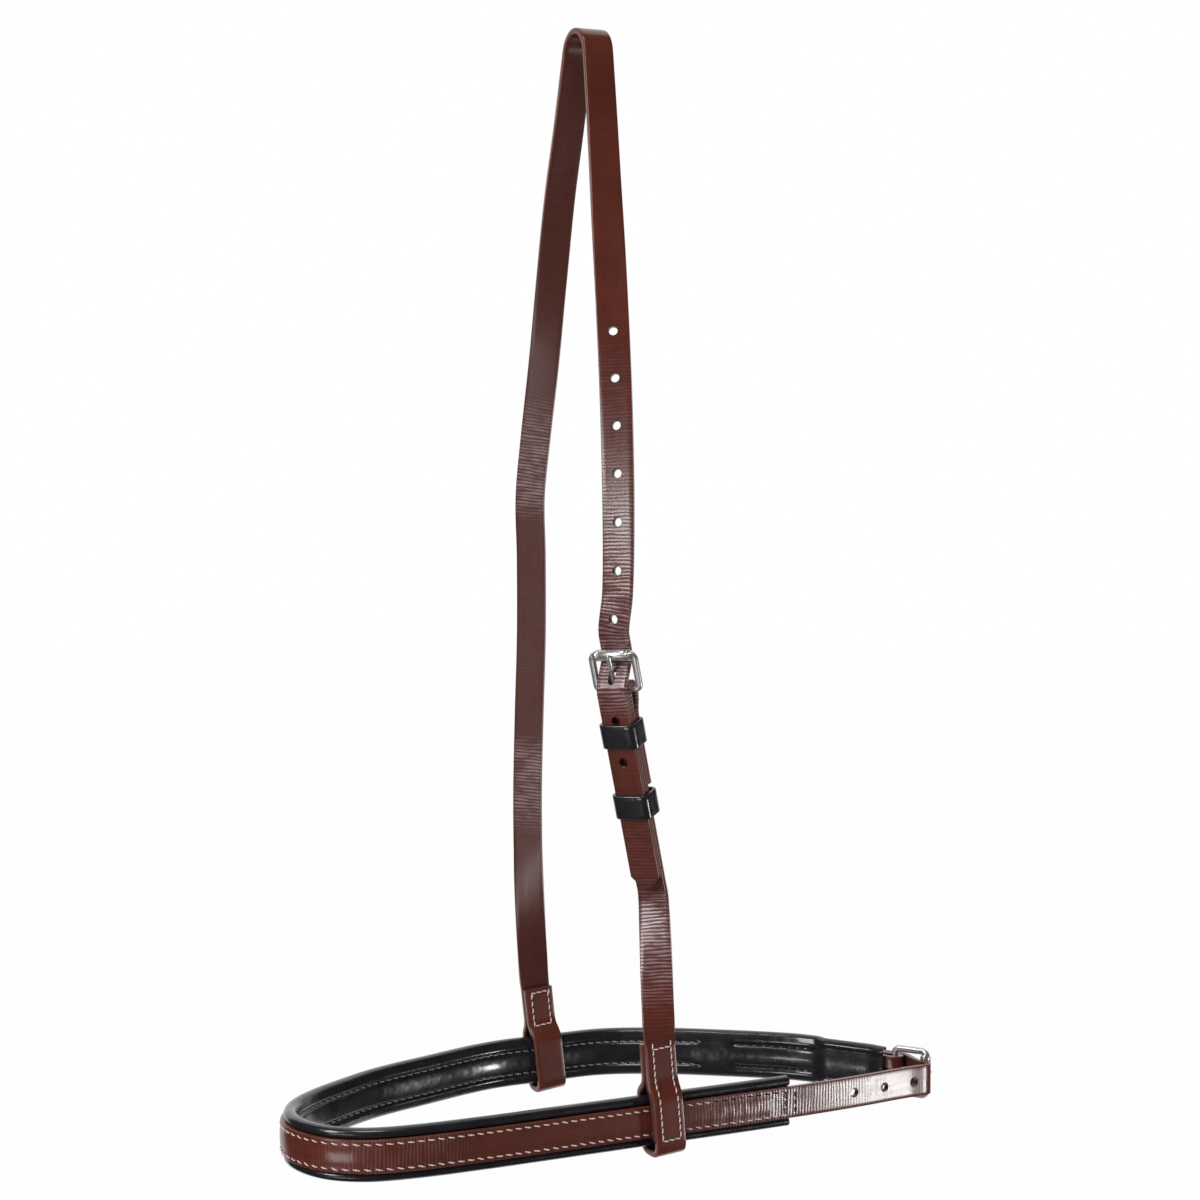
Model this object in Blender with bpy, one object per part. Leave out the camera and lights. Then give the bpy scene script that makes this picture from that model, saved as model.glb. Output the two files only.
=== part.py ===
"""Cavesson noseband: head strap with cheek buckle, and padded nose strap with chin buckle.

Frame: origin at the underside of the crown, where the head strap lies over the poll.
+Z is up, -X is towards the nose, and -Y is the side that carries the cheek buckle.
Every size below is in millimetres, and to_metres turns points into Blender's metres.
"""

import math

import bmesh
import bpy
import numpy as np
from mathutils import Matrix, Vector

MM = 0.001
QUARTER_TURN = 90.0

# Straps
STRAP_WIDTH = 13.0
STRAP_THICK = 2.5
GAP = 0.3
POINT_LENGTH = 5.0
POINT_HALF_WIDTH = 1.8
FILLER_THICK = 1.6
LOOP_SLACK = 1.0
STRAP_STEP = 6.0

# Strap holes
HOLE_RADIUS = 1.8
HOLE_PITCH = 19.2
HOLES_UP = 7
FIRST_HOLE_UP = 24.5
TAIL_HOLE_PITCH = 17.4
TAIL_HOLES = 2
CHIN_HOLE_PITCH = 16.0
CHIN_HOLES = 3
FIRST_CHIN_HOLE = 25.2
OVAL_HALF_LENGTH = 3.1
HOLE_SIDES = 16

# Thread
THREAD_WIDTH = 0.6
THREAD_THICK = 0.4
THREAD_INSET = 1.6
BOX_INSET = 2.5
FAR_BOX_LENGTH = 17.0
CHAPE_BOX_UNTIL = 27.0
CHIN_BOX_START = 37.5

# Buckles
HEEL_RADIUS = 1.25
BUCKLE_REACH = 14.0
BUCKLE_WINDOW = 16.4
SIDE_BAR_WIDTH = 2.8
SIDE_BAR_DEPTH = 2.2
AXLE_RADIUS = 1.2
ROLLER_RADIUS = 2.3
ROLLER_WALL = 0.9
ROLLER_END_GAP = 0.3
TONGUE_RADIUS = 0.9
TONGUE_PLAY = 0.15
TONGUE_OVERHANG = 1.6
TONGUE_SLOT_PLAY = 0.4
BAR_SIDES = 16
ROLLER_SIDES = 24
TONGUE_SIDES = 12
TONGUE_TIP_SHARE = 0.6
FRAME_CORNER = 1.8

# Keepers
KEEPER_THICK = 1.3
CHEEK_KEEPER_LENGTH = 10.0
CHIN_KEEPER_LENGTH = 8.0
KEEPER_CORNER = 0.6

# Places along the cheek stack, measured down from the heel bar
CHEEK_UPPER_KEEPER_AT = 17.5
CHEEK_LOWER_KEEPER_AT = 47.5
CHEEK_TAIL = 83.0
CHEEK_CHAPE = 40.0
CHAPE_OPENS_AT = 11.0
CHAPE_CLOSES_AT = 2.5

# Places along the chin stack, measured back from the heel bar
CHIN_FIXED_KEEPER_AT = 14.6
CHIN_SLIDING_KEEPER_AT = 24.0
CHIN_TAIL = 74.0
CHIN_CHAPE = 75.0

# Padded band
BAND_HEIGHT = 21.0
BAND_DROP = 438.3
STRAP_OFFSET = 1.85
LINING_THICK = 1.0
FLANGE_END = 3.5
PADDING_THICK = 1.5
PADDING_HALF_HEIGHT = 6.4
LINING_START = 3.5
LINING_STEP_FROM = 37.0
LINING_STEP_UNTIL = 31.0
LINING_STEP_IN = 1.2
LINING_OPEN_ROLL = 0.85
LINING_SHORT_LIP = 0.25
FOLD_STEP_FROM = 11.0
FOLD_STEP_UNTIL = 4.0
FLANGE_SINK = 0.1
PADDING_START = 92.0
SEAM_START = 86.0
END_MARGIN = 1.5

# Where the head strap and the loops stand
CHEEK_HEEL = (-10.5, -49.2, -263.7)
CHEEK_DOWN = (0.245, 0.098, -0.965)
CHEEK_HEADING = -56.0
CROWN_RADIUS = 9.6
NEAR_LOOP_X = 7.7
NEAR_LOOP_LEAN = 5.0
FAR_LOOP_X = 6.9
FAR_LOOP_LEAN = 6.5
NEAR_SIDE_Y = -51.0
FAR_SIDE_Y = 58.0
LOOP_END_ABOVE = 32.0
LOOP_CORNER = 4.0
LOOP_LEAD = 6.0
LEAVE_LEAD = 5.0
LEAVE_EARLY = 2.0

# The chin buckle's place and heading in the band's plane, and the turn of the chin strap
CHIN_HEEL = (134.7, -28.7)
CHIN_HEADING = 125.0
CHIN_TURN_RADIUS = 3.5
CHIN_TURN_LEAD = 0.5
CHIN_STRAIGHT = 30.0
BUCKLE_LEAD = 8.0
SAME_POINT = 0.2

BROWN = (0.105, 0.030, 0.017)
DARK_BROWN = (0.060, 0.018, 0.012)
BLACK = (0.010, 0.010, 0.012)
FOAM = (0.09, 0.09, 0.10)
STEEL = (0.62, 0.62, 0.64)
CREAM = (0.55, 0.47, 0.38)

# Worked out from the sizes above
HALF_WIDTH = STRAP_WIDTH / 2
HALF_THICK = STRAP_THICK / 2
LAYER = STRAP_THICK + GAP
CHAPE_RADIUS = HEEL_RADIUS + GAP + HALF_THICK
TAIL_OFFSET = CHAPE_RADIUS + LAYER
CHAPE_BACK = CHAPE_RADIUS - LAYER
BEHIND_ROLLER = ROLLER_RADIUS + GAP + HALF_THICK
REFERENCE_SHIFT = CHAPE_RADIUS - STRAP_OFFSET
STRAP_FACE = STRAP_OFFSET + HALF_THICK
FLANGE_TOP = STRAP_OFFSET - HALF_THICK - GAP - FLANGE_SINK
FLANGE_UNDER = FLANGE_TOP - LINING_THICK
PADDING_TOP = FLANGE_UNDER - GAP
WALL_TOP = PADDING_TOP - PADDING_THICK - GAP
WALL_FACE = WALL_TOP - LINING_THICK
ROLL_RADIUS = (FLANGE_TOP - WALL_FACE) / 2
ROLL_ACROSS = WALL_FACE + ROLL_RADIUS
FLAT_EDGE = ROLL_RADIUS
ROLL_UP = BAND_HEIGHT / 2 - ROLL_RADIUS
OVER_THREAD = STRAP_FACE + GAP + THREAD_THICK + GAP
NEAR_OUTER = OVER_THREAD + FILLER_THICK + GAP + HALF_THICK
FAR_OUTER = OVER_THREAD + HALF_THICK
LOOP_INNER = WALL_FACE - GAP - THREAD_THICK - GAP - HALF_THICK
LOOP_BOTTOM = -(BAND_HEIGHT / 2 + LOOP_SLACK + HALF_THICK)


def clear_scene():
    for item in list(bpy.data.objects):
        bpy.data.objects.remove(item, do_unlink=True)


def material(name, colour, roughness, metallic=0.0):
    made = bpy.data.materials.new(name)
    made.use_nodes = True
    shader = made.node_tree.nodes["Principled BSDF"]
    shader.inputs["Base Color"].default_value = (*colour, 1.0)
    shader.inputs["Roughness"].default_value = roughness
    shader.inputs["Metallic"].default_value = metallic
    return made


def unit(vector):
    vector = np.asarray(vector, dtype=float)
    return vector / np.linalg.norm(vector)


def to_metres(points):
    return np.asarray(points, dtype=float) * MM


def add_object(name, mesh, finish, place=None):
    """Links a mesh as one named object, with its origin at place (a matrix in metres)."""
    mesh.materials.append(finish)
    made = bpy.data.objects.new(name, mesh)
    bpy.context.collection.objects.link(made)
    if place is not None:
        mesh.transform(place.inverted())
        made.matrix_basis = place
    mesh.shade_smooth()
    mesh.set_sharp_from_angle(angle=math.radians(35))
    return made


def swept_mesh(name, rings, closed=False):
    """Joins rings of points, all with the same count, into one skin with flat end caps."""
    rings = to_metres(rings)
    count, around = rings.shape[:2]
    body = bmesh.new()
    rows = [[body.verts.new(point) for point in ring] for ring in rings]
    for i in range(count if closed else count - 1):
        here, there = rows[i], rows[(i + 1) % count]
        for j in range(around):
            k = (j + 1) % around
            body.faces.new((here[j], here[k], there[k], there[j]))
    if not closed:
        body.faces.new(rows[0][::-1])
        body.faces.new(rows[-1])
    bmesh.ops.recalc_face_normals(body, faces=body.faces[:])
    mesh = bpy.data.meshes.new(name)
    body.to_mesh(mesh)
    body.free()
    return mesh


def tangents(points, closed=False):
    """The mean of the directions of the two steps that meet at each point."""
    points = np.asarray(points, dtype=float)
    steps = np.diff(points, axis=0, append=points[:1])
    steps = steps / np.linalg.norm(steps, axis=1)[:, None]
    if not closed:
        steps[-1] = steps[-2]
    before = np.roll(steps, 1, 0)
    if not closed:
        before[0] = steps[0]
    mean = steps + before
    return mean / np.linalg.norm(mean, axis=1)[:, None]


def frames(points, across, closed=False):
    """The width and thickness directions at each point of a path, square to its run."""
    along = tangents(points, closed)
    across = np.asarray(across, dtype=float)
    across = across - (across * along).sum(1)[:, None] * along
    across = across / np.linalg.norm(across, axis=1)[:, None]
    return across, np.cross(along, across)


def flat_rings(points, across, half_width, half_thick, closed=False):
    """Rectangular sections along a path. half_width is one number or one for each point."""
    wide, thick = frames(points, across, closed)
    half_width = np.broadcast_to(half_width, len(points))[:, None]
    corners = ((1, 1), (1, -1), (-1, -1), (-1, 1))
    points = np.asarray(points, dtype=float)
    rings = [points + a * half_width * wide + b * half_thick * thick for a, b in corners]
    return np.stack(rings, 1)


def round_rings(points, radius, sides, across):
    wide, thick = frames(points, across)
    turn = np.arange(sides) / sides * math.tau
    spokes = np.cos(turn)[None, :, None] * wide[:, None] + np.sin(turn)[None, :, None] * thick[:, None]
    return np.asarray(points)[:, None] + radius * spokes


def spline(points, step):
    """A smooth curve through the points: a cubic between each two, whose slope at a point
    is the slope between its neighbours. Sampled about every step."""
    points = np.asarray(points, dtype=float)
    chords = np.linalg.norm(np.diff(points, axis=0), axis=1)
    slopes = np.empty_like(points)
    slopes[1:-1] = (points[2:] - points[:-2]) / (chords[1:] + chords[:-1])[:, None]
    slopes[0] = (points[1] - points[0]) / chords[0]
    slopes[-1] = (points[-1] - points[-2]) / chords[-1]
    out = []
    for i, chord in enumerate(chords):
        t = np.linspace(0.0, 1.0, max(2, int(round(chord / step))), endpoint=False)[:, None]
        stay = (2 * t**3 - 3 * t**2 + 1) * points[i] + (3 * t**2 - 2 * t**3) * points[i + 1]
        lead = (t**3 - 2 * t**2 + t) * slopes[i] + (t**3 - t**2) * slopes[i + 1]
        out.append(stay + chord * lead)
    return np.vstack(out + [points[-1:]])


def thin_stations(points, most_turn=5.0, most_step=14.0):
    """Drops points of a dense path where it runs nearly straight, and returns their numbers."""
    along = tangents(points)
    kept = [0]
    for i in range(1, len(points) - 1):
        turn = math.degrees(math.acos(min(1.0, float(along[i] @ along[kept[-1]]))))
        run = np.linalg.norm(points[i] - points[kept[-1]])
        if turn >= most_turn or run >= most_step:
            kept.append(i)
    return kept + [len(points) - 1]


def arc(centre, radius, start, end, count):
    """Points (t, n) on an arc, its angles in degrees from the t axis towards the n axis."""
    turn = np.radians(np.linspace(start, end, count))
    return [(centre[0] + radius * math.cos(a), centre[1] + radius * math.sin(a)) for a in turn]


class Stack:
    """A buckle's own axes: w across the strap, n outwards, t from the roller to the chape."""

    def __init__(self, heel, down, outward):
        self.heel = np.asarray(heel, dtype=float)
        self.t = unit(down)
        outward = np.asarray(outward, dtype=float)
        self.n = unit(outward - (outward @ self.t) * self.t)
        self.w = np.cross(self.n, self.t)

    def point(self, t, n, w=0.0):
        return self.heel + t * self.t + n * self.n + w * self.w

    def path(self, pairs):
        return np.array([self.point(t, n) for t, n in pairs])

    def matrix(self, t=0.0, n=0.0):
        place = Matrix.Identity(4)
        for column, axis in enumerate((self.w, self.n, self.t)):
            for row in range(3):
                place[row][column] = axis[row]
        place.translation = Vector(to_metres(self.point(t, n)))
        return place


def crossing_angle():
    """The slope of the strap between the back of the roller and the outside of the chape."""
    return math.degrees(math.asin((BEHIND_ROLLER + TAIL_OFFSET) / BUCKLE_REACH))


def crossing_path(lead):
    """Points (t, n) from above the buckle, behind the roller and out over the heel bar."""
    slope = crossing_angle()
    behind = [(-BUCKLE_REACH - lead, -BEHIND_ROLLER)]
    behind += arc((-BUCKLE_REACH, 0.0), BEHIND_ROLLER, -QUARTER_TURN, slope - QUARTER_TURN, 5)
    return behind + arc((0.0, 0.0), TAIL_OFFSET, QUARTER_TURN + slope, QUARTER_TURN, 6)


def chape_path(length, steps):
    """Points (t, n) from the chape's cut end, up its back and round the heel bar."""
    back = [(t, CHAPE_BACK) for t in np.linspace(length, CHAPE_OPENS_AT, steps)]
    for share in (0.25, 0.5, 0.75):
        ease = share * share * (3 - 2 * share)
        t = CHAPE_OPENS_AT + share * (CHAPE_CLOSES_AT - CHAPE_OPENS_AT)
        back.append((t, CHAPE_BACK - ease * (CHAPE_RADIUS + CHAPE_BACK)))
    back.append((CHAPE_CLOSES_AT, -CHAPE_RADIUS))
    return back + arc((0.0, 0.0), CHAPE_RADIUS, -QUARTER_TURN, -3 * QUARTER_TURN, 11)


def heading_across(degrees):
    """The level width direction of a strap whose face looks towards this heading."""
    turn = math.radians(degrees)
    return np.array([math.cos(turn), math.sin(turn), 0.0])


def headings_at(heights, table):
    """Width directions at the heights, from (height, heading) pairs given from low to high."""
    heights_known, degrees = zip(*table)
    return np.array([heading_across(d) for d in np.interp(heights, heights_known, degrees)])


def hole_cutter(name, centres, axes, along, radius, half_length):
    """Round or oval punches: each a prism along its axis, stretched along the strap."""
    body = bmesh.new()
    for centre, axis, run in zip(centres, axes, along):
        side = np.cross(axis, run)
        loops = []
        for reach in (-STRAP_THICK, STRAP_THICK):
            ring = []
            for k in range(HOLE_SIDES):
                turn = math.tau * k / HOLE_SIDES
                stretch = half_length - radius if math.cos(turn) > 0 else radius - half_length
                place = centre + reach * axis + radius * math.sin(turn) * side
                place = place + (radius * math.cos(turn) + stretch) * run
                ring.append(body.verts.new(to_metres(place)))
            loops.append(ring)
        for k in range(HOLE_SIDES):
            m = (k + 1) % HOLE_SIDES
            body.faces.new((loops[0][k], loops[0][m], loops[1][m], loops[1][k]))
        body.faces.new(loops[0][::-1])
        body.faces.new(loops[1])
    bmesh.ops.recalc_face_normals(body, faces=body.faces[:])
    mesh = bpy.data.meshes.new(name)
    body.to_mesh(mesh)
    body.free()
    return cutter_object(name, mesh)


def cutter_object(name, mesh):
    made = bpy.data.objects.new(name, mesh)
    bpy.context.collection.objects.link(made)
    made.hide_render = True
    made.display_type = "WIRE"
    return made


def path_length(points):
    return float(np.linalg.norm(np.diff(points, axis=0), axis=1).sum())


def box_cutter(name, stack, t_range, n_range, half_w):
    """A box in a buckle's axes, for the slot that the tongue passes through."""
    (t0, t1), (n0, n1) = t_range, n_range
    corners = [(t0, n0), (t1, n0), (t1, n1), (t0, n1)]
    rings = [[stack.point(t, n, w) for t, n in corners] for w in (-half_w, half_w)]
    return cutter_object(name, swept_mesh(name, rings))


def cut(target, *cutters):
    for cutter in cutters:
        step = target.modifiers.new(cutter.name, "BOOLEAN")
        step.operation = "DIFFERENCE"
        step.solver = "EXACT"
        step.object = cutter


def along_path(points, distances):
    """Points and directions at distances along a path."""
    points = np.asarray(points, dtype=float)
    steps = np.linalg.norm(np.diff(points, axis=0), axis=1)
    length = np.concatenate([[0.0], np.cumsum(steps)])
    places = np.stack([np.interp(distances, length, points[:, k]) for k in range(3)], 1)
    ahead = np.stack([np.interp(np.add(distances, 0.5), length, points[:, k]) for k in range(3)], 1)
    behind = np.stack([np.interp(np.add(distances, -0.5), length, points[:, k]) for k in range(3)], 1)
    run = ahead - behind
    return places, run / np.linalg.norm(run, axis=1)[:, None], length[-1]


def point_widths(points, tip_first):
    """Half widths of a strap that narrows to a blunt point at one end."""
    order = np.asarray(points) if tip_first else np.asarray(points)[::-1]
    run = np.concatenate([[0.0], np.cumsum(np.linalg.norm(np.diff(order, axis=0), axis=1))])
    widths = np.interp(run, (0.0, POINT_LENGTH), (POINT_HALF_WIDTH, HALF_WIDTH))
    return widths if tip_first else widths[::-1]


# The three stacks of axes that everything hangs on
cheek = Stack(CHEEK_HEEL, CHEEK_DOWN, np.cross(heading_across(CHEEK_HEADING), (0, 0, 1)))
chin_turn = math.radians(CHIN_HEADING)
chin = Stack(
    (CHIN_HEEL[0], CHIN_HEEL[1], -BAND_DROP),
    (math.cos(chin_turn), math.sin(chin_turn), 0.0),
    (math.sin(chin_turn), -math.cos(chin_turn), 0.0),
)


class Loop:
    """Axes of a hanging loop: v outwards from the band's middle plane, u up its lean."""

    def __init__(self, x, y, lean, outward):
        turn = math.radians(lean)
        self.middle = np.array([x, y, -BAND_DROP])
        self.v = np.array([0.0, outward, 0.0])
        self.u = np.array([-math.sin(turn), 0.0, math.cos(turn)])
        self.w = np.array([math.cos(turn), 0.0, math.sin(turn)])

    def point(self, v, u):
        return self.middle + v * self.v + u * self.u

    def path(self, pairs):
        return np.array([self.point(v, u) for v, u in pairs])


near_loop = Loop(NEAR_LOOP_X, NEAR_SIDE_Y, NEAR_LOOP_LEAN, -1.0)
far_loop = Loop(FAR_LOOP_X, FAR_SIDE_Y, FAR_LOOP_LEAN, 1.0)


def eased(share):
    return share * share * (3 - 2 * share)


def loop_path(outer, closed_outer, closed_inner, close_from, close_at):
    """Points (v, u) down the outside of the band, under it, and up its inside to the cut end.

    Above the band the two layers run side by side at closed_outer and closed_inner.
    """
    shares = np.linspace(0.0, 1.0, 7)
    down = [(closed_outer, LOOP_END_ABOVE)]
    for share in shares[::-1]:
        u = close_from + share * (close_at - close_from)
        down.append((outer + eased(share) * (closed_outer - outer), u))
    corner = LOOP_BOTTOM + LOOP_CORNER
    down.append((outer, corner + 2.0))
    turn = [(v, u) for v, u in arc((outer - LOOP_CORNER, corner), LOOP_CORNER, 0.0, -90.0, 6)]
    turn += [(v, u) for v, u in arc((LOOP_INNER + LOOP_CORNER, corner), LOOP_CORNER, -90.0, -180.0, 6)]
    up = [(LOOP_INNER, corner + 2.0)]
    for share in shares:
        u = close_from + share * (close_at - close_from)
        up.append((LOOP_INNER + eased(share) * (closed_inner - LOOP_INNER), u))
    return down, turn + up + [(closed_inner, LOOP_END_ABOVE)]


NEAR_CLOSED = 4.3
NEAR_CLOSED_INNER = NEAR_CLOSED - HALF_THICK - GAP - FILLER_THICK - GAP - HALF_THICK
FAR_CLOSED = 1.6
FAR_CLOSED_INNER = FAR_CLOSED - LAYER
CLOSE_FROM = 10.0
CLOSE_AT = 17.0

near_down, near_round = loop_path(NEAR_OUTER, NEAR_CLOSED, NEAR_CLOSED_INNER, CLOSE_FROM, CLOSE_AT)
far_down, far_round = loop_path(FAR_OUTER, FAR_CLOSED, FAR_CLOSED_INNER, CLOSE_FROM, CLOSE_AT)

# The band's middle line seen from above, from the chin buckle's heel bar round the nose
BAND_LINE = [
    chin.point(0.0, REFERENCE_SHIFT)[:2],
    chin.point(15.0, REFERENCE_SHIFT)[:2],
    chin.point(31.0, REFERENCE_SHIFT)[:2],
    (108.5, 9.5),
    (96.0, 20.5),
    (82.0, 31.0),
    (67.5, 41.3),
    (52.0, 50.3),
    (39.0, 55.8),
    (28.0, FAR_SIDE_Y),
    (8.0, FAR_SIDE_Y),
    (-14.0, FAR_SIDE_Y),
    (-30.0, 55.0),
    (-50.0, 48.5),
    (-81.5, 37.5),
    (-104.0, 25.0),
    (-118.0, 15.5),
    (-129.0, 4.5),
    (-135.0, -9.0),
    (-134.5, -23.5),
    (-128.0, -37.0),
    (-115.0, -46.0),
    (-96.0, -49.6),
    (-70.0, -50.8),
    (-48.0, NEAR_SIDE_Y),
    (-25.0, NEAR_SIDE_Y),
    (15.0, NEAR_SIDE_Y),
    (56.0, NEAR_SIDE_Y),
    (82.0, -50.3),
    (104.0, -48.9),
    (119.0, -47.3),
]
PADDED_END_X = 67.0

band_flat = spline([(x, y, -BAND_DROP) for x, y in BAND_LINE], 1.0)
band_steps = np.linalg.norm(np.diff(band_flat, axis=0), axis=1)
band_run = np.concatenate([[0.0], np.cumsum(band_steps)])
band_along = tangents(band_flat)
band_out = np.stack([band_along[:, 1], -band_along[:, 0], np.zeros(len(band_flat))], 1)
near_side = band_flat[:, 1] < NEAR_SIDE_Y + 20.0
PADDED_END = float(np.interp(PADDED_END_X, band_flat[near_side, 0], band_run[near_side]))


def band_stations(start, end):
    """Distances along the band's middle line, close together only where it bends."""
    inside = [i for i in thin_stations(band_flat) if start + 1.0 < band_run[i] < end - 1.0]
    return np.array([start] + [band_run[i] for i in inside] + [end])


def band_points(distances, v, u=0.0):
    """Points at distances along the band, v outwards from its middle and u up."""
    base = np.stack([np.interp(distances, band_run, band_flat[:, k]) for k in range(3)], 1)
    out = np.stack([np.interp(distances, band_run, band_out[:, k]) for k in range(3)], 1)
    v = np.broadcast_to(v, len(base))[:, None]
    return base + v * out + np.array([0.0, 0.0, 1.0]) * np.broadcast_to(u, len(base))[:, None]


def band_rings(distances, profiles):
    """One ring a station from a (v, u) outline a station."""
    corners = np.moveaxis(profiles, 1, 0)
    return np.stack([band_points(distances, corner[:, 0], corner[:, 1]) for corner in corners], 1)


# Head strap paths

NEAR_LEG = [
    (-11.8, -50.7, -225.6),
    (-10.3, -48.5, -194.5),
    (-8.7, -44.1, -162.2),
    (-6.7, -37.7, -130.9),
    (-4.8, -30.5, -99.4),
    (-2.1, -21.3, -67.4),
    (0.4, -12.6, -36.0),
]
FAR_LEG = [
    (-2.0, 12.8, -34.0),
    (-3.2, 20.0, -65.0),
    (-2.2, 30.0, -98.0),
    (-1.4, 39.0, -131.0),
    (-1.9, 47.0, -165.0),
    (-2.6, 51.0, -190.0),
    (-1.2, 53.0, -215.0),
    (-0.4, 54.8, -250.0),
    (-1.2, 55.6, -287.0),
    (-1.8, 56.0, -322.0),
    (-1.0, 56.6, -357.0),
]
NEAR_HEADINGS = [(-410.0, 0.0), (-388.0, -32.0), (-352.0, CHEEK_HEADING), (-225.0, CHEEK_HEADING)]
NEAR_HEADINGS += [(-130.0, -36.0), (-60.0, -6.0), (-10.0, 0.0)]
FAR_HEADINGS = [(-412.0, 0.0), (-385.0, -24.0), (-345.0, -48.0), (-190.0, -48.0), (-130.0, -36.0)]
FAR_HEADINGS += [(-60.0, -8.0), (-10.0, 0.0)]


def crown_arch():
    """The bend over the poll: an arc of CROWN_RADIUS in the plane X = 0."""
    top = HALF_THICK - CROWN_RADIUS
    turns = np.radians(np.linspace(-80.0, 80.0, 13))
    return [(0.0, CROWN_RADIUS * math.sin(a), top + CROWN_RADIUS * math.cos(a)) for a in turns]


def joined(points, across):
    """One path from several, with the points that two of them share written once."""
    points = np.vstack(points)
    across = np.vstack(across)
    fresh = np.concatenate([[True], np.linalg.norm(np.diff(points, axis=0), axis=1) > SAME_POINT])
    return points[fresh], across[fresh]


def crown_strap_path():
    """From the pointed tail, through the buckle, over the poll and down to the far loop."""
    straight = np.linspace(0.0, CHEEK_TAIL - POINT_LENGTH, 4)[1:]
    tail = [(t, TAIL_OFFSET) for t in (*straight, CHEEK_TAIL)]
    buckled = cheek.path(crossing_path(BUCKLE_LEAD) + tail)[::-1]
    lead = cheek.path([(-BUCKLE_REACH, -BEHIND_ROLLER), (-BUCKLE_REACH - BUCKLE_LEAD, -BEHIND_ROLLER)])
    arch = np.array(crown_arch())
    up = spline(np.vstack([lead, NEAR_LEG, arch[:2]]), STRAP_STEP)
    up = up[(up[:, 2] > lead[1, 2] + 1.0) & (up[:, 2] < arch[0, 2] - 1.0)]
    loop_top = far_loop.path([(far_down[0][0], LOOP_END_ABOVE + LOOP_LEAD), far_down[0]])
    down = spline(np.vstack([arch[-2:], FAR_LEG, loop_top]), STRAP_STEP)
    down = down[(down[:, 2] < arch[-1, 2] - 1.0) & (down[:, 2] > loop_top[1, 2] + 1.0)]
    loop = far_loop.path(far_down + far_round)
    across = [
        np.tile(cheek.w, (len(buckled), 1)),
        headings_at(up[:, 2], NEAR_HEADINGS),
        np.tile(heading_across(0.0), (len(arch), 1)),
        headings_at(down[:, 2], FAR_HEADINGS),
        np.tile(far_loop.w, (len(loop), 1)),
    ]
    return joined([buckled, up, arch, down, loop], across)


def near_cheek_path():
    """From the chape's cut end, round the heel bar, and down to the near loop."""
    leaves_at = CHEEK_TAIL - LEAVE_EARLY
    straight = [(t, CHAPE_RADIUS) for t in np.linspace(0.0, leaves_at, 4)[1:3]]
    chape = cheek.path(chape_path(CHEEK_CHAPE, 3) + straight)
    leave = cheek.path([(leaves_at, CHAPE_RADIUS), (CHEEK_TAIL + LEAVE_LEAD, CHAPE_RADIUS)])
    loop_top = near_loop.path([(near_down[0][0], LOOP_END_ABOVE + LOOP_LEAD), near_down[0]])
    free = spline(np.vstack([leave, loop_top]), STRAP_STEP)
    free = free[free[:, 2] > loop_top[1, 2] + 1.0]
    loop = near_loop.path(near_down + near_round)
    across = [
        np.tile(cheek.w, (len(chape), 1)),
        headings_at(free[:, 2], NEAR_HEADINGS),
        np.tile(near_loop.w, (len(loop), 1)),
    ]
    return joined([chape, free, loop], across)


def nose_strap_path():
    """From the chape's cut end, round the heel bar, round the nose and out to the tail."""
    back_v = CHAPE_BACK - REFERENCE_SHIFT
    straight_until = CHIN_STRAIGHT
    curved = band_points(np.linspace(CHIN_CHAPE, straight_until, 8), back_v)
    folded = chin.path(chape_path(straight_until - 1.0, 3))
    round_nose = band_points(band_stations(4.0, float(band_run[-1])), STRAP_OFFSET)
    turn_end = np.array([-BUCKLE_REACH - CHIN_TURN_LEAD, -BEHIND_ROLLER])
    finish = chin.point(*turn_end)
    turn = math.radians(CHIN_HEADING)
    centre = finish[:2] - CHIN_TURN_RADIUS * np.array([math.sin(turn), -math.cos(turn)])
    bend = [(x, y, -BAND_DROP) for x, y in arc(centre, CHIN_TURN_RADIUS, -90.0, CHIN_HEADING - 90.0, 12)]
    lead = [(centre[0] - run, centre[1] - CHIN_TURN_RADIUS, -BAND_DROP) for run in (8.0, 4.0)]
    through = chin.path(crossing_path(0.0))
    tail_v = TAIL_OFFSET - REFERENCE_SHIFT
    tail = band_points(np.linspace(10.0, CHIN_TAIL - POINT_LENGTH, 8), tail_v)
    tip = band_points([CHIN_TAIL], tail_v)
    parts = [curved, folded, round_nose, lead, bend, through, tail, tip]
    return joined(parts, [np.tile((0.0, 0.0, 1.0), (len(part), 1)) for part in parts])


def strap(name, points, across, widths, finish):
    """A leather strap along a path, with square edges."""
    mesh = swept_mesh(name, flat_rings(points, across, widths, HALF_THICK))
    return add_object(name, mesh, finish)


def strap_holes(name, points, across, distances, radius, half_length):
    """Punches square to a strap at distances along it, round or pulled long."""
    places, runs, _ = along_path(points, distances)
    nearest = [int(np.linalg.norm(points - place, axis=1).argmin()) for place in places]
    wide = np.asarray(across)[nearest]
    axes = [unit(np.cross(a, r)) for a, r in zip(wide, runs)]
    return hole_cutter(name, places, axes, runs, radius, half_length)


def distance_to(points, place):
    """How far along a path the point nearest to place lies."""
    points = np.asarray(points, dtype=float)
    steps = np.diff(points, axis=0)
    length = np.linalg.norm(steps, axis=1)
    share = ((place - points[:-1]) * steps).sum(1) / length**2
    share = np.clip(share, 0.0, 1.0)
    miss = np.linalg.norm(points[:-1] + share[:, None] * steps - place, axis=1)
    best = int(miss.argmin())
    return float(length[:best].sum() + share[best] * length[best])


# The tongue leaves its ring at TONGUE_SLOPE and lies over the roller
TONGUE_RING = HEEL_RADIUS + TONGUE_PLAY + TONGUE_RADIUS
TONGUE_REST = ROLLER_RADIUS + GAP + TONGUE_RADIUS
TONGUE_SLOPE = math.asin((TONGUE_REST - TONGUE_RING) / BUCKLE_REACH)
TONGUE_WRAP = 255.0


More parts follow.
